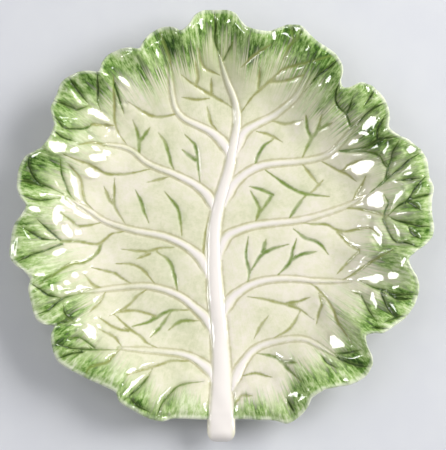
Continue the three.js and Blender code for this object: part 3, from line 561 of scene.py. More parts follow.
class Path:
    """A smooth line through chosen points of the plan."""

    def __init__(self, points):
        p = np.array(points, float)
        p = np.vstack([2 * p[0] - p[1], p, 2 * p[-1] - p[-2]])
        out = []
        for a, b, c, d in zip(p, p[1:], p[2:], p[3:]):
            n = max(2, int(math.ceil(np.linalg.norm(c - b) / PATH_STEP)))
            t = (np.arange(n) / n)[:, None]
            slope, bend, twist = c - a, 2 * a - 5 * b + 4 * c - d, 3 * b - a - 3 * c + d
            out.append((2 * b + slope * t + bend * t ** 2 + twist * t ** 3) / 2)
        self.points = np.vstack(out + [p[-2][None]])
        legs = np.linalg.norm(np.diff(self.points, axis=0), axis=1)
        self.along = np.concatenate([[0], np.cumsum(legs)])
        self.length = self.along[-1]

    def near(self, x, y, margin):
        """Which points lie near the line, how far from it, how far along it, and on which side of it."""
        low = self.points.min(0) - margin
        high = self.points.max(0) + margin
        found = np.nonzero((x > low[0]) & (x < high[0]) & (y > low[1]) & (y < high[1]))[0]
        best = np.full(len(found), FAR)
        along = np.zeros(len(found))
        side = np.ones(len(found))
        px, py = x[found], y[found]
        for k in range(len(self.points) - 1):
            a, b = self.points[k], self.points[k + 1]
            leg = b - a
            size = float(leg @ leg)
            dx, dy = px - a[0], py - a[1]
            t = np.clip((dx * leg[0] + dy * leg[1]) / size, 0, 1)
            gap = np.hypot(dx - t * leg[0], dy - t * leg[1])
            closer = gap < best
            best[closer] = gap[closer]
            along[closer] = self.along[k] + t[closer] * math.sqrt(size)
            side[closer] = np.sign(leg[0] * dy - leg[1] * dx)[closer]
        return found, best, along, side

    def at(self, along):
        """Place and direction at lengths along the line."""
        def point(length):
            return np.stack([np.interp(length, self.along, self.points[:, i]) for i in (0, 1)], axis=1)
        way = point(along + PATH_STEP) - point(along - PATH_STEP)
        return point(along), way / np.linalg.norm(way, axis=1, keepdims=True)


class Vein(Path):
    """A thin vein. Its free ends run out to a point, and an end that meets another vein stays full."""

    def __init__(self, points, others):
        p = list(points)
        self.free = [self.is_free(p[0], others), self.is_free(p[-1], others)]
        if self.free[0]:
            p.insert(0, p[0] + VEIN_TAIL * (p[0] - p[1]) / np.linalg.norm(p[0] - p[1]))
        if self.free[1]:
            p.append(p[-1] + VEIN_TAIL * (p[-1] - p[-2]) / np.linalg.norm(p[-1] - p[-2]))
        super().__init__(p)

    @staticmethod
    def is_free(end, others):
        return all(np.linalg.norm(other - end, axis=1).min() > VEIN_JOIN for other in others)

    def fullness(self, along):
        """0 at the pointed ends, 1 in the middle."""
        taper = VEIN_TAPER * self.length
        full = np.ones_like(along)
        if self.free[0]:
            full = np.minimum(full, smooth(0, taper, along))
        if self.free[1]:
            full = np.minimum(full, smooth(0, taper, self.length - along))
        return full


drawn = {row: Path(points_of(row)).points for kind in VEIN_KINDS for row in kind[0]}
veins = []
for kind_rows, *kind_sizes in VEIN_KINDS:
    for vein_row in kind_rows:
        others = [line for row, line in drawn.items() if row is not vein_row]
        veins.append((Vein(points_of(vein_row), others), kind_sizes))

STALK_END = float(-(around(EDGE, STALK_ANGLE) + EDGE_ROUND + SEAM + STALK_REACH))


class Rib:
    """What the midrib and the side ribs share: the fading tip, the white crest, which also carries a painted
    highlight, and the crease beside it.
    """

    def tip(self, along):
        return np.clip((self.path.length - along) / TIP_FADE, TIP_LEAST, 1) ** 0.5

    def white(self, along):
        return mix(*self.white_and_highlight_ends, smooth(*self.white_and_highlight_fade, self.share(along)))

    def crease(self, along):
        return mix(*self.crease_ends, self.share(along)) * self.root(along)


class Midrib(Rib):
    """The rib up the middle. Its line starts at the end of the stalk, in front of the rim."""

    crest = (1.0, 0.6)
    white_and_highlight_ends = (1.0, 0.3)
    white_and_highlight_fade = (0.55, 1.0)
    crease_ends = (0.75, 0.6)
    round_ends = (0.6, 0.9)
    round_length = 22

    def __init__(self):
        line = points_of(MIDRIB)
        x, y = line[0]
        stalk = [(x, step) for step in np.linspace(STALK_END, y, STALK_POINTS)[:-1]]
        self.path = Path(stalk + list(line))
        self.free = y - STALK_END

    def share(self, along):
        return np.clip((along - self.free) / (self.path.length - self.free), 0, 1)

    def half(self, along):
        t = self.share(along)
        flare = (1 - np.clip(t / STALK_FLARE, 0, 1)) ** 2
        width = mix(MIDRIB_WIDTH, MIDRIB_TIP_WIDTH, t ** MIDRIB_TAPER) + (STALK_WIDTH - MIDRIB_WIDTH) * flare
        return width / 2 * self.tip(along)

    def rise(self, along):
        return mix(MIDRIB_HEIGHT, MIDRIB_TIP_HEIGHT, self.share(along)) * self.tip(along)

    def roundness(self, along):
        return mix(*self.round_ends, smooth(self.free, self.free + self.round_length, along))

    def root(self, along):
        return smooth(self.free - 1, self.free + ROOT_FADE, along)


class SideRib(Rib):
    """A rib that leaves the midrib and fades towards the rim."""

    crest = (0.95, 0.2)
    # The crest stays white far along the rib: the clay's own white, made stronger as a painted highlight
    white_and_highlight_ends = (1.0, 0.15)
    white_and_highlight_fade = (0.22, 0.75)
    crease_ends = (1.0, 0.6)
    round_power = 1.25

    def __init__(self, row):
        self.path = Path(points_of(row))

    def share(self, along):
        return along / self.path.length

    def root(self, along):
        return smooth(0, ROOT_FADE, along)

    def half(self, along):
        width = mix(RIB_WIDTH, RIB_TIP_WIDTH, self.share(along))
        flare = mix(mix(ROOT_WIDTH, ROOT_FLARE, self.root(along)), 1.0, smooth(ROOT_FADE, ROOT_END, along))
        return width / 2 * flare * self.tip(along)

    def rise(self, along):
        height = mix(RIB_HEIGHT, RIB_TIP_HEIGHT, self.share(along))
        return height * mix(ROOT_RISE, 1.0, self.root(along)) * self.tip(along)

    def roundness(self, along):
        return np.full_like(along, self.round_power)


midrib = Midrib()
side_ribs = {name: SideRib(row) for name, row in RIBS.items()}

LEAN = math.radians(CAMERA_ELEVATION)
CAMERA_SPOT = Vector(CAMERA_AIM) + CAMERA_DISTANCE * Vector((0, -math.cos(LEAN), math.sin(LEAN)))


def hand_waves(x, y):
    """Slow unevenness of hand-finished clay, between about -1 and 1."""
    waves = ((0.31, 0.12, 0.4), (-0.17, 0.29, 1.9), (0.08, -0.36, 3.1), (0.43, 0.27, 5.2), (-0.38, 0.41, 0.9))
    return sum(np.sin(a * x + b * y + c) for a, b, c in waves) / len(waves)


def paint_amount(angle, share):
    """Share of the way into the painted rim, plainness of the brush's hairs there, and paleness."""
    table = np.array(PAINT_START)
    start, hair, pale = (np.interp(np.mod(angle, 360), table[:, 0], table[:, i]) for i in (1, 2, 3))
    return np.clip((share - start) / (1.0 - start), PAINT_LEAST, 1), hair, pale


def paint_pools(x, y):
    """How dark the paint has pooled. A pool is drawn out along the brush strokes."""
    dark = np.zeros_like(x)
    for angle, share, size, strength in POOLS:
        a = math.radians(angle)
        r = share * float(around(EDGE, angle))
        dx, dy = x - r * math.cos(a), y - r * math.sin(a)
        out = dx * math.cos(a) + dy * math.sin(a)
        across = -dx * math.sin(a) + dy * math.cos(a)
        pool = np.exp(-((out / (POOL_LENGTH * size)) ** 2) - (across / size) ** 2)
        dark = np.maximum(dark, strength * pool)
    return dark


def draw_veins(x, y, rim):
    """Thin veins: depth of the grooves, offset from the nearest painted line in half widths of it, nearness
    of paint, tone, wash of colour round the line, and the gap to the nearest vein."""
    groove, near, tone, wash = np.zeros_like(x), np.zeros_like(x), np.zeros_like(x), np.zeros_like(x)
    line, gap = np.full_like(x, VEIN_REACH), np.full_like(x, FAR)
    for path, (depth, rim_depth, groove_half, line_half, shade) in veins:
        found, d, along, side = path.near(x, y, VEIN_REACH)
        full = path.fullness(along)
        size = mix(THIN_END, 1.0, full)
        cut = np.exp(-((d / (groove_half * size)) ** 2)) * size
        groove[found] = np.maximum(groove[found], mix(depth, rim_depth, rim[found]) * cut)
        off = d / (line_half * size)
        closer = off < np.abs(line[found])
        line[found] = np.where(closer, side * off, line[found])
        tone[found] = np.where(closer, shade * mix(FAINT_END, 1.0, full), tone[found])
        inked = np.exp(-((d / PAINT_SPREAD) ** 2)) * mix(FAINT_END, 1.0, full)
        near[found] = np.maximum(near[found], inked)
        wash[found] = np.maximum(wash[found], shade * full * np.exp(-((d / WASH_SPREAD) ** 2)))
        gap[found] = np.minimum(gap[found], d + GAP_TAIL * (1 - full))
    return groove, line, near, tone, wash, gap


def draw_ribs(x, y):
    """Midrib and side ribs: height, white crest with its painted highlight, distance outside their edge, and
    strength of the crease.
    """
    ridge, white, crease = np.zeros_like(x), np.zeros_like(x), np.zeros_like(x)
    outside = np.full_like(x, FAR)
    for rib in [midrib] + list(side_ribs.values()):
        found, d, along, _ = rib.path.near(x, y, RIB_REACH)
        half = rib.half(along)
        u = d / half
        height = rib.rise(along) * np.clip(1 - u * u, 0, 1) ** rib.roundness(along)
        ridge[found] = (ridge[found] ** RIDGE_BLEND + height ** RIDGE_BLEND) ** (1 / RIDGE_BLEND)
        white[found] = np.maximum(white[found], smooth(*rib.crest, u) * rib.white(along))
        closer = d - half < outside[found]
        crease[found] = np.where(closer, rib.crease(along), crease[found])
        outside[found] = np.where(closer, d - half, outside[found])
    return ridge, white, outside, crease


def plain_face(x, y):
    """The face before its grooves and ribs are laid on: heights and what they come from."""
    angle, share, fold = place(x, y)
    base = blade_height(angle, share, fold)
    rim = smooth(*RIM_BAND, share)
    groove, line, near, tone, wash, vein_gap = draw_veins(x, y, rim)
    ridge, white, outside, crease = draw_ribs(x, y)
    crease_gap = np.maximum(outside, 0) + CREASE_TAIL * (1 - np.clip(crease, 0, 1))
    puff = 1 - np.exp(-np.minimum(vein_gap, crease_gap) / PILLOW_REACH)
    inner = mix(1.0, EDGE_PILLOW, smooth(*EDGE_BAND, share))
    finer = hand_waves(CRUMPLE_FINENESS * x + 9, CRUMPLE_FINENESS * y - 4)
    crumple = CRUMPLE * smooth(*CRUMPLE_BAND, share) * finer
    swell = mix(PILLOW, RIM_PILLOW, rim) * puff * inner + WAVES * hand_waves(x, y) + crumple
    furrow = CREASE_DEPTH * crease * np.exp(-(((outside - CREASE_OUT) / CREASE_WIDTH) ** 2))
    off_rib = smooth(*RIB_BORDER, outside)
    paint, hair, pale = paint_amount(angle, share)
    masks = {
        "paint": paint - STALK_CLEAR * white * near_stalk(angle, STALK_CLEAR_SPREAD),
        "dark": paint_pools(x, y) - PALE_WEIGHT * pale, "outside": np.clip(outside, -3, 3),
        "hair": hair, "puff": puff, "line": line, "near": near * off_rib, "tone": tone, "wash": wash,
        "white": white, "crease": crease, "lip": np.zeros_like(x), "lower": np.zeros_like(x),
    }
    return {
        "bare": base, "face": base + swell, "cut": (groove * off_rib + furrow) * inner, "ridge": ridge,
        "outside": outside, "share": share, "masks": masks,
    }


class Glint:
    """A patch of the face laid flat, to mirror a lamp to the camera or, if dull, to miss it."""

    def __init__(self, x, y, half_length, half_width, degrees, lamp, dull=False):
        self.x, self.y = x, y
        self.half_length, self.half_width = half_length, half_width
        self.turn = math.radians(degrees)
        around_x = np.array([x, x + GLINT_STEP, x - GLINT_STEP, x, x])
        around_y = np.array([y, y, y, y + GLINT_STEP, y - GLINT_STEP])
        z = plain_face(around_x, around_y)["face"]
        self.z = z[0]
        now = np.array([z[1] - z[2], z[3] - z[4]]) / (2 * GLINT_STEP)
        spot = Vector((x, y, z[0])) * MM
        half_way = (Vector(lamp) - spot).normalized() + (CAMERA_SPOT - spot).normalized()
        needed = -np.array(half_way[:2]) / half_way[2]
        short = np.linalg.norm(now - needed)
        kept = max(1, DULL_TILT / short) if dull else min(1, GLINT_EASE / short)
        self.slope = needed + (now - needed) * kept

    def lay(self, x, y, z):
        dx, dy = x - self.x, y - self.y
        along = dx * math.cos(self.turn) + dy * math.sin(self.turn)
        across = dy * math.cos(self.turn) - dx * math.sin(self.turn)
        ragged = RAGGED * hand_waves(RAGGED_FINENESS * x, RAGGED_FINENESS * y)
        reach = np.hypot(along / self.half_length, across / self.half_width) + ragged
        return mix(z, self.z + self.slope[0] * dx + self.slope[1] * dy, smooth(*GLINT_FADE, reach))


glints = [Glint(*patch, RIGHT_LAMP, True) for patch in RIGHT_DULL]
glints += [Glint(*patch, LEFT_LAMP, True) for patch in LEFT_DULL]
glints += [Glint(*patch, RIGHT_LAMP) for patch in RIGHT_GLINTS]
glints += [Glint(*patch, LEFT_LAMP) for patch in LEFT_GLINTS]


def surface(x, y):
    """Face of the dressed blade under points of the plan: heights, and masks of what is drawn on it."""
    face = plain_face(x, y)
    z = face["face"]
    for glint in glints:
        z = glint.lay(x, y, z)
    return {**face, "z": z - face["cut"] + face["ridge"]}


def mesh_object(name, points, faces, attributes=None, vectors=None):
    """A smooth mesh in the frame from points of the plan in millimetres."""
    mesh = bpy.data.meshes.new(name)
    mesh.from_pydata(to_frame(points).tolist(), [], faces)
    mesh.polygons.foreach_set("use_smooth", np.ones(len(mesh.polygons), bool))
    for key, values in (attributes or {}).items():
        layer = mesh.attributes.new(key, "FLOAT", "POINT")
        layer.data.foreach_set("value", np.asarray(values, np.float32))
    for key, values in (vectors or {}).items():
        layer = mesh.attributes.new(key, "FLOAT_VECTOR", "POINT")
        layer.data.foreach_set("vector", np.asarray(values, np.float32).ravel())
    mesh.update()
    obj = bpy.data.objects.new(name, mesh)
    bpy.context.scene.collection.objects.link(obj)
    return obj


def flow(x, y):
    """Coordinates that follow the brush strokes: two that go round the leaf and one outwards."""
    r = np.hypot(x, y) + 1e-6
    return np.stack([FLOW_RADIUS * x / r, FLOW_RADIUS * y / r, r], axis=1)


def disc_grid(cells):
    """Angle and share of the points of a square net pulled into a disc, and the net of their numbers."""
    step = np.linspace(-1, 1, cells + 1)
    a, b = np.meshgrid(step, step, indexing="xy")
    wide = np.abs(a) >= np.abs(b)
    with np.errstate(divide="ignore", invalid="ignore"):
        phi = np.where(wide, np.pi / 4 * b / a, np.pi / 2 - np.pi / 4 * a / b)
    phi = np.nan_to_num(phi)
    radius = np.where(wide, a, b)
    px, py = (radius * np.cos(phi)).ravel(), (radius * np.sin(phi)).ravel()
    net = np.arange((cells + 1) ** 2).reshape(cells + 1, cells + 1)
    return np.degrees(np.arctan2(py, px)), np.clip(np.hypot(px, py), 0, 1), net


def net_quads(net):
    """Faces between the neighbouring points of a net."""
    return np.stack([net[:-1, :-1], net[:-1, 1:], net[1:, 1:], net[1:, :-1]], axis=-1).reshape(-1, 4).tolist()


def blade_piece():
    """The blade: its dressed face, the round edge, and a plain underside."""
    angle, share, net = disc_grid(BLADE_CELLS)
    r = share * reach_at(share, angle)
    x, y = r * np.cos(np.radians(angle)), r * np.sin(np.radians(angle))
    face = surface(x, y)
    bed = (face["ridge"] + RIB_BED) * smooth(*BED_BAND, -face["outside"])
    top = face["z"] - bed
    points = [np.stack([x, y, top], axis=1)]
    faces = net_quads(net)
    loop = np.concatenate([net[0, :-1], net[:-1, -1], net[-1, :0:-1], net[:0:-1, 0]])
    ring_angle = angle[loop]
    ring_edge = around(EDGE, ring_angle)
    ring_fold = around(FOLD, ring_angle)
    ring_top = top[loop]
    count = len(loop)

    def under(share_k):
        height = blade_height(ring_angle, np.full(count, share_k), ring_fold)
        inner = blade_height(ring_angle, np.full(count, share_k - SLOPE_STEP), ring_fold)
        slope = (height - inner) / (SLOPE_STEP * ring_edge)
        wall = mix(FLOOR_WALL, RIM_WALL, np.clip((share_k - FLOOR_SHARE) / (1 - FLOOR_SHARE), 0, 1))
        return height - wall * np.hypot(1, slope)

    edge_low = np.minimum(under(1.0), ring_top - RIM_WALL)
    rings = []
    for k in range(1, EDGE_RINGS + 1):
        turn = math.pi * k / (EDGE_RINGS + 1)
        out = ring_edge + EDGE_ROUND * math.sin(turn)
        # Pale lip on the round edge: pale glaze with a painted highlight line along it
        lip = float(smooth(0.0, 0.8, math.sin(turn)))
        rings.append((out, mix(ring_top, edge_low, (1 - math.cos(turn)) / 2), lip, 0.0))
    rings.append((ring_edge, edge_low, 0.0, 1.0))
    for k in range(UNDER_RINGS - 1, -1, -1):
        share_k = mix(FLOOR_SHARE, 1.0, k / UNDER_RINGS)
        low = mix(under(share_k), np.minimum(under(share_k), edge_low), smooth(*UNDER_BAND, share_k))
        rings.append((share_k * reach_at(share_k, ring_angle), low, 0.0, 1.0))
    start = len(x)
    # The pale lip and its painted highlight also run onto the outermost band of the face
    pale_lip_and_highlight, lowers = [LIP_PALE_AND_HIGHLIGHT * smooth(*LIP_PALE_AND_HIGHLIGHT_BAND, share)], [np.zeros(len(x))]
    before = loop
    for reach, z, lip, lower in rings:
        a = np.radians(ring_angle)
        points.append(np.stack([reach * np.cos(a), reach * np.sin(a), z], axis=1))
        now = np.arange(start, start + count)
        faces += np.stack([before, now, np.roll(now, -1), np.roll(before, -1)], axis=1).tolist()
        pale_lip_and_highlight.append(np.full(count, lip))
        lowers.append(np.full(count, lower))
        before = now
        start += count
    points.append(np.array([[0.0, 0.0, FOOT_HEIGHT]]))
    faces += [[int(p), start, int(q)] for p, q in zip(before, np.roll(before, -1))]
    points = np.vstack(points)
    rest = points[len(x):]
    rest_face = surface(rest[:, 0], rest[:, 1])["masks"]
    masks = {key: np.concatenate([values, rest_face[key]]) for key, values in face["masks"].items()}
    masks["lip"] = np.concatenate(pale_lip_and_highlight + [[0.0]])
    masks["lower"] = np.concatenate(lowers + [[1.0]])
    return mesh_object("leaf_blade_glazed", points, faces, masks, {"flow": flow(points[:, 0], points[:, 1])})


def coil_mesh(name, rib, stations, scale, hang):
    """A rib laid on the blade: its back follows the dressed face, and its sole lies under the face."""
    xy, way = rib.path.at(stations)
    side = np.stack([-way[:, 1], way[:, 0]], axis=1)
    rows = len(stations)
    top_u = -np.cos(np.pi * np.arange(TOP_POINTS + 1) / TOP_POINTS)
    sole_u = np.cos(np.pi * np.arange(1, SOLE_POINTS) / SOLE_POINTS)
    u = np.concatenate([top_u, sole_u])
    count = len(u)
    width = rib.half(stations) * scale
    px = (xy[:, 0][:, None] + side[:, 0][:, None] * u * width[:, None]).ravel()
    py = (xy[:, 1][:, None] + side[:, 1][:, None] * u * width[:, None]).ravel()
    across = np.tile(u, rows)
    back = np.tile(np.arange(count) <= TOP_POINTS, rows)
    free = np.repeat(hang, count)
    shrink = np.repeat(scale, count)
    face = surface(px, py)
    lift = RIB_LIFT - RIB_DIVE * smooth(*DIVE_BAND, np.abs(across)) * (1 - free)
    if rib is not midrib:
        found, d, along, _ = midrib.path.near(px, py, JOIN_REACH)
        lift[found] -= RIB_DIVE * smooth(*JOIN_BAND, d / midrib.half(along))
        lift -= np.repeat(RIB_DIVE * smooth(END_DIVE, 0, stations), count)
    lift -= np.repeat(RIB_DIVE * smooth(END_DIVE, 0, rib.path.length - stations), count)
    belly = np.clip(1 - across * across, 0, 1)
    low = face["bare"] - mix(RIB_SUNK + SOLE_BELLY * belly, STALK_BELLY * shrink * belly ** 0.5, free)
    high = face["bare"] + (face["z"] - face["bare"]) * shrink + lift - END_DROP * (1 - shrink)
    z = np.where(back, high, np.minimum(low, high))
    points = np.stack([px, py, z], axis=1)
    faces = []
    for i in range(rows - 1):
        a = np.arange(count) + i * count
        b = a + count
        faces += np.stack([a, b, np.roll(b, -1), np.roll(a, -1)], axis=1).tolist()
    faces.append(list(range(count)))
    faces.append(list(range(rows * count - 1, (rows - 1) * count - 1, -1)))
    masks = face["masks"]
    masks["paint"] = np.where(face["share"] > EDGE_SHARE, UNPAINTED, masks["paint"])
    return mesh_object(name, points, faces, masks, {"flow": flow(px, py)})


def side_rib_piece(name):
    rib = side_ribs[name]
    stations = np.linspace(0, rib.path.length, max(RIB_STATIONS, int(rib.path.length / PATH_STEP)))
    return coil_mesh(name + "_coil", rib, stations, np.ones_like(stations), np.zeros_like(stations))


def midrib_piece():
    """Midrib on the blade, and the stalk past the rim with its rounded cut end."""
    stations = np.append(END_STATIONS, np.linspace(ROUND_END, midrib.path.length, MIDRIB_STATIONS))
    turned = 1 - np.clip(stations / ROUND_END, 0, 1)
    scale = mix(END_SCALE, 1.0, np.sqrt(1 - turned ** 2))
    hang = smooth(*HANG_BAND, midrib.free - stations)
    return coil_mesh("midrib_stalk_coil", midrib, stations, scale, hang)


def foot_piece():
    """Foot ring with rounded lower corners and a flat standing face."""
    inner = FOOT_RADIUS - FOOT_WIDTH
    corner = 0.5
    waist, waist_height = 0.15, 1.2
    turns = (0.0, 0.5, 1.1)
    profile = [(inner - FOOT_TAPER, FOOT_HEIGHT), (inner - waist, waist_height)]
    profile += [(inner + corner - corner * math.cos(a), corner - corner * math.sin(a)) for a in turns]
    profile += [(inner + corner, 0.0)]
    profile += [(FOOT_RADIUS - corner + corner * math.sin(a), corner - corner * math.cos(a)) for a in turns]
    profile += [(FOOT_RADIUS, corner), (FOOT_RADIUS + waist, waist_height)]
    profile += [(FOOT_RADIUS + FOOT_TAPER, FOOT_HEIGHT)]
    points = []
    for i in range(FOOT_SEGMENTS):
        a = 2 * math.pi * i / FOOT_SEGMENTS
        points += [(r * math.cos(a), r * math.sin(a), z) for r, z in profile]
    count = len(profile)
    faces = []
    for i in range(FOOT_SEGMENTS):
        j = (i + 1) % FOOT_SEGMENTS
        for k in range(count):
            m = (k + 1) % count
            faces.append([i * count + k, i * count + m, j * count + m, j * count + k])
    return mesh_object("foot_ring_clay", points, faces)


# Materials
def linear(code):
    channels = [int(code[i:i + 2], 16) / 255 for i in (0, 2, 4)]
    return tuple(c / 12.92 if c <= 0.04045 else ((c + 0.055) / 1.055) ** 2.4 for c in channels) + (1.0,)


class Nodes:
    """Short ways to add and join shader nodes."""

    def __init__(self, name):
        self.material = bpy.data.materials.new(name)
        self.material.use_nodes = True
        self.tree = self.material.node_tree
        self.shader = self.tree.nodes["Principled BSDF"]

    def add(self, kind, **settings):
        node = self.tree.nodes.new(kind)
        for key, value in settings.items():
            setattr(node, key, value)
        return node

    def join(self, source, target):
        self.tree.links.new(source, target)

    def put(self, socket, value):
        if isinstance(value, bpy.types.NodeSocket):
            self.join(value, socket)
        else:
            socket.default_value = value

    def attribute(self, name, output="Fac"):
        return self.add("ShaderNodeAttribute", attribute_name=name).outputs[output]

    def math(self, operation, a, b=0.0):
        node = self.add("ShaderNodeMath", operation=operation)
        self.put(node.inputs[0], a)
        self.put(node.inputs[1], b)
        return node.outputs[0]

    def total(self, start, *parts):
        """A number plus values, each with its weight and the middle that it swings about."""
        result = start
        for value, weight, middle in parts:
            term = self.add("ShaderNodeMath", operation="MULTIPLY_ADD")
            self.put(term.inputs[0], value)
            term.inputs[1].default_value = weight
            term.inputs[2].default_value = -weight * middle
            result = self.math("ADD", result, term.outputs[0])
        return result

    def noise(self, vector, scale, detail=2.0, roughness=0.5, reach=0.22):
        """Noise drawn out to run from 0 to 1. The scale may differ along the vector's three directions."""
        scales = scale if isinstance(scale, tuple) else (scale, scale, scale)
        mapping = self.add("ShaderNodeMapping")
        self.join(vector, mapping.inputs["Vector"])
        mapping.inputs["Scale"].default_value = scales
        node = self.add("ShaderNodeTexNoise")
        self.join(mapping.outputs["Vector"], node.inputs["Vector"])
        node.inputs["Scale"].default_value = 1.0
        node.inputs["Detail"].default_value = detail
        node.inputs["Roughness"].default_value = roughness
        return self.spread(node.outputs["Fac"], 0.5 - reach, 0.5 + reach)

    def spread(self, value, low, high, to_low=0.0, to_high=1.0):
        """A value drawn smoothly from one range to another."""
        node = self.add("ShaderNodeMapRange", interpolation_type="SMOOTHSTEP")
        self.put(node.inputs["Value"], value)
        limits = {"From Min": low, "From Max": high, "To Min": to_low, "To Max": to_high}
        for key, number in limits.items():
            node.inputs[key].default_value = number
        return node.outputs["Result"]

    def blend(self, factor, a, b):
        node = self.add("ShaderNodeMix", data_type="RGBA")
        self.put(node.inputs["Factor"], factor)
        self.put(node.inputs[6], a)
        self.put(node.inputs[7], b)
        return node.outputs[2]

    def ramp(self, value, stops):
        node = self.add("ShaderNodeValToRGB")
        self.join(value, node.inputs["Fac"])
        elements = node.color_ramp.elements
        while len(elements) < len(stops):
            elements.new(0.5)
        for element, (position, code) in zip(elements, stops):
            element.position = position
            element.color = linear(code)
        return node.outputs["Color"]

    def bump(self, height, strength, distance):
        node = self.add("ShaderNodeBump")
        self.join(height, node.inputs["Height"])
        node.inputs["Strength"].default_value = strength
        node.inputs["Distance"].default_value = distance
        self.join(node.outputs["Normal"], self.shader.inputs["Normal"])

    def position(self):
        return self.add("ShaderNodeTexCoord").outputs["Object"]


def glaze_material(name):
    """Cream glaze, brushed green towards the rim, with tinted glaze pooled in veins and creases, and painted
    highlights along the rib crests and the rim's edge.
    """
    nodes = Nodes(name)
    nodes.shader.inputs["IOR"].default_value = 1.5
    spot = nodes.position()
    stream = nodes.attribute("flow", "Vector")
    paint = nodes.attribute("paint")
    dark = nodes.attribute("dark")
    puff = nodes.attribute("puff")
    hair = nodes.attribute("hair")
    strokes = nodes.noise(stream, (0.4, 0.4, 0.03), 2.0, 0.6)
    swing = nodes.math("SUBTRACT", nodes.noise(stream, (1.9, 1.9, 0.05), 1.5, 0.6, 0.18), 0.5)
    swing = nodes.math("MULTIPLY", swing, hair)
    hairs = nodes.math("ADD", swing, 0.5)
    thick_hairs = nodes.math("MULTIPLY", swing, nodes.spread(paint, 0.1, 0.7, 1.0, 0.35))
    cloud = nodes.noise(spot, 45)
    mottle = nodes.noise(spot, 330, 5.0, 0.75)
    grain = nodes.noise(stream, (1.0, 1.0, 0.3), 4.0, 0.7)

    cream_tone = nodes.total(0.5, (cloud, 0.45, 0.4), (mottle, 0.5, 0.5), (hairs, 0.15, 0.5))
    cream = nodes.ramp(cream_tone, ((0.1, "CFD0AC"), (0.5, "E1DEC2"), (0.9, "EBE4D4")))
    reach = nodes.total(
        0.0, (paint, 1.0, 0.0), (thick_hairs, 0.95, 0.0), (strokes, 0.6, 0.5), (grain, 0.25, 0.5),
        (dark, 0.3, 0.0))
    tint = nodes.total(
        0.56, (strokes, 0.3, 0.5), (thick_hairs, 0.5, 0.0), (grain, 0.6, 0.5), (puff, 0.36, 0.65),
        (dark, -0.48, 0.0))
    greens = nodes.ramp(
        tint, ((0.05, "2F4F12"), (0.25, "5F8433"), (0.5, "9CB86E"), (0.7, "BED097"), (0.95, "DDE5BF")))
    wash = nodes.math("MULTIPLY", nodes.attribute("wash"), nodes.spread(cloud, 0.0, 1.0, 0.6, 0.15))
    cream = nodes.blend(wash, cream, linear("B9C497"))
    haze = nodes.math("MULTIPLY", nodes.spread(paint, -1.4, 0.2, 0.0, 0.7), nodes.spread(hair, 0.88, 1.0))
    haze = nodes.math("MULTIPLY", haze, nodes.spread(hairs, 0.1, 0.9, 0.5, 1.15))
    cream = nodes.blend(haze, cream, linear("BFC890"))
    colour = nodes.blend(nodes.spread(reach, -0.2, 0.8), cream, greens)

    # White of the rib crests: the clay's own white, brightened and drawn out as a painted highlight along
    # them
    unpainted = nodes.spread(reach, 0.1, 0.7, 1.0, 0.25)
    white = nodes.math("MULTIPLY", nodes.attribute("white"), unpainted)
    colour = nodes.blend(white, colour, linear("F0E9E3"))

    edge = nodes.math("ABSOLUTE", nodes.math("SUBTRACT", nodes.attribute("outside"), CREASE_OUT))
    edge = nodes.total(edge, (mottle, 0.3, 0.5))
    crease = nodes.math("MULTIPLY", nodes.spread(edge, 0.1, 0.6, 0.8, 0.0), nodes.attribute("crease"))
    crease_colour = nodes.ramp(
        nodes.math("ADD", paint, 0.3), ((0.0, "B7B087"), (0.5, "8F9A5E"), (1.0, "5D7A36")))
    colour = nodes.blend(crease, colour, crease_colour)

    near = nodes.attribute("near")
    thick = nodes.spread(paint, 0.0, 1.0)
    tone = nodes.total(nodes.attribute("tone"), (thick, 0.6, 0.35), (cloud, 0.3, 0.5))
    colour = nodes.blend(nodes.spread(near, 0.1, 1.0, 0.0, 0.32), colour, linear("A9AF70"))
    line = nodes.total(nodes.math("ABSOLUTE", nodes.attribute("line")), (mottle, 0.7, 0.5), (hairs, 0.3, 0.5))
    worn = nodes.noise(spot, 160, 2.0, 0.6)
    core = nodes.math("MULTIPLY", nodes.spread(line, 0.0, 1.7, 0.97, 0.0), nodes.spread(near, 0.15, 0.5))
    worn = nodes.total(worn, (thick, 0.5, 0.0))
    core = nodes.math("MULTIPLY", core, nodes.spread(worn, 0.0, 0.8, 0.62, 1.0))
    vein_colour = nodes.ramp(tone, ((0.0, "9E9E62"), (0.4, "7C9042"), (0.75, "547626"), (1.0, "2F4D12")))
    colour = nodes.blend(core, colour, vein_colour)

    # Pale glaze on the rim's edge, with a painted highlight line along it
    lip = nodes.math("MULTIPLY", nodes.attribute("lip"), nodes.spread(strokes, 0.1, 0.7, 0.3, 0.95))
    colour = nodes.blend(lip, colour, linear("EEF0DC"))
    under_colour = nodes.blend(nodes.spread(reach, 0.3, 0.9, 0.0, 0.7), linear("E3E1C8"), linear("A9C07E"))
    colour = nodes.blend(nodes.attribute("lower"), colour, under_colour)
    nodes.join(colour, nodes.shader.inputs["Base Color"])
    nodes.join(nodes.spread(nodes.noise(spot, 60), 0.0, 1.0, 0.02, 0.05), nodes.shader.inputs["Roughness"])
    ripple = nodes.noise(spot, 150)
    nodes.bump(nodes.total(0.0, (ripple, 0.3, 0.5), (hairs, 0.08, 0.5), (core, -1.0, 0.0)), 0.2, 0.0004)
    return nodes.material


def clay_material():
    nodes = Nodes("bare_clay_foot")
    spot = nodes.position()
    speck = nodes.noise(spot, 900, 4.0, 0.7)
    base = nodes.ramp(nodes.noise(spot, 70), ((0.0, "DDD3BC"), (1.0, "E8E0CE")))
    colour = nodes.blend(nodes.spread(speck, 0.77, 1.0, 0.0, 0.6), base, linear("B39C78"))
    nodes.join(colour, nodes.shader.inputs["Base Color"])
    nodes.join(nodes.spread(speck, 0.0, 1.0, 0.75, 0.9), nodes.shader.inputs["Roughness"])
    nodes.bump(speck, 0.25, 0.0002)
    return nodes.material


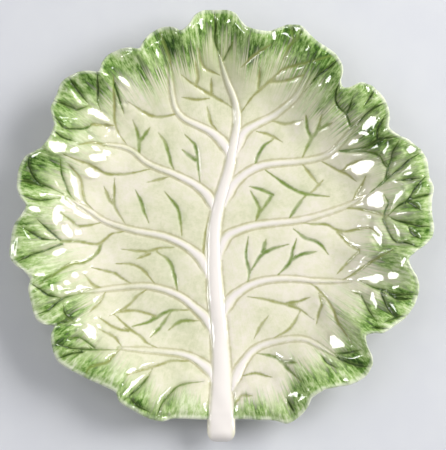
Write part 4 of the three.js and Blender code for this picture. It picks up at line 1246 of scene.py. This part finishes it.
def dress(obj, material, node):
    obj.data.materials.append(material)
    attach(obj, "root")
    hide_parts(node)


leaf_glaze = glaze_material("leaf_glaze_painted")
rib_glaze = glaze_material("rib_glaze_cream")
dress(blade_piece(), leaf_glaze, "leaf_blade")
dress(midrib_piece(), rib_glaze, "midrib_stalk")
for rib_name in RIBS:
    dress(side_rib_piece(rib_name), rib_glaze, rib_name)
dress(foot_piece(), clay_material(), "foot_ring")


# Floor, lights and camera
def floor_piece():
    line = np.linspace(-FLOOR_SIZE / 2, FLOOR_SIZE / 2, FLOOR_CELLS + 1)
    x, y = np.meshgrid(line, line)
    points = np.stack([x.ravel(), y.ravel(), np.zeros(x.size)], axis=1)
    mesh = bpy.data.meshes.new("studio_floor")
    mesh.from_pydata(points.tolist(), [], net_quads(np.arange(x.size).reshape(x.shape)))
    obj = bpy.data.objects.new("studio_floor", mesh)
    bpy.context.scene.collection.objects.link(obj)
    nodes = Nodes("studio_paper")
    speck = nodes.noise(nodes.position(), 60)
    nodes.join(nodes.ramp(speck, ((0.0, "D3D4D9"), (1.0, "D6D7DB"))), nodes.shader.inputs["Base Color"])
    nodes.shader.inputs["Roughness"].default_value = 0.9
    mesh.materials.append(nodes.material)


def soft_box(name, place_round, side, power, lit, mirrored):
    light = bpy.data.lights.new(name, "AREA")
    light.shape = "RECTANGLE"
    light.size = light.size_y = side
    light.energy = power
    obj = bpy.data.objects.new(name, light)
    obj.location = Vector(place_round) + MIDDLE
    obj.rotation_euler = Vector(place_round).to_track_quat("Z", "Y").to_euler()
    obj.visible_diffuse = lit
    obj.visible_glossy = mirrored
    bpy.context.scene.collection.objects.link(obj)


floor_piece()
for lamp_name, lamp in LAMPS.items():
    soft_box(lamp_name, *lamp)

world = bpy.data.worlds.new("studio_air")
world.use_nodes = True
air = world.node_tree.nodes["Background"]
air.inputs["Color"].default_value = AIR_COLOUR
air.inputs["Strength"].default_value = AIR_STRENGTH
bpy.context.scene.world = world

camera = bpy.data.cameras.new("photo_camera")
camera.sensor_width = SENSOR_WIDTH
camera.lens = SENSOR_WIDTH * CAMERA_DISTANCE / (IMAGE_HEIGHT * MM_PER_PIXEL * MM)
camera_object = bpy.data.objects.new("photo_camera", camera)
camera_object.location = CAMERA_SPOT + MIDDLE
camera_object.rotation_euler = (math.pi / 2 - LEAN, 0, 0)
bpy.context.scene.collection.objects.link(camera_object)
bpy.context.scene.camera = camera_object
bpy.context.scene.view_settings.view_transform = "Standard"
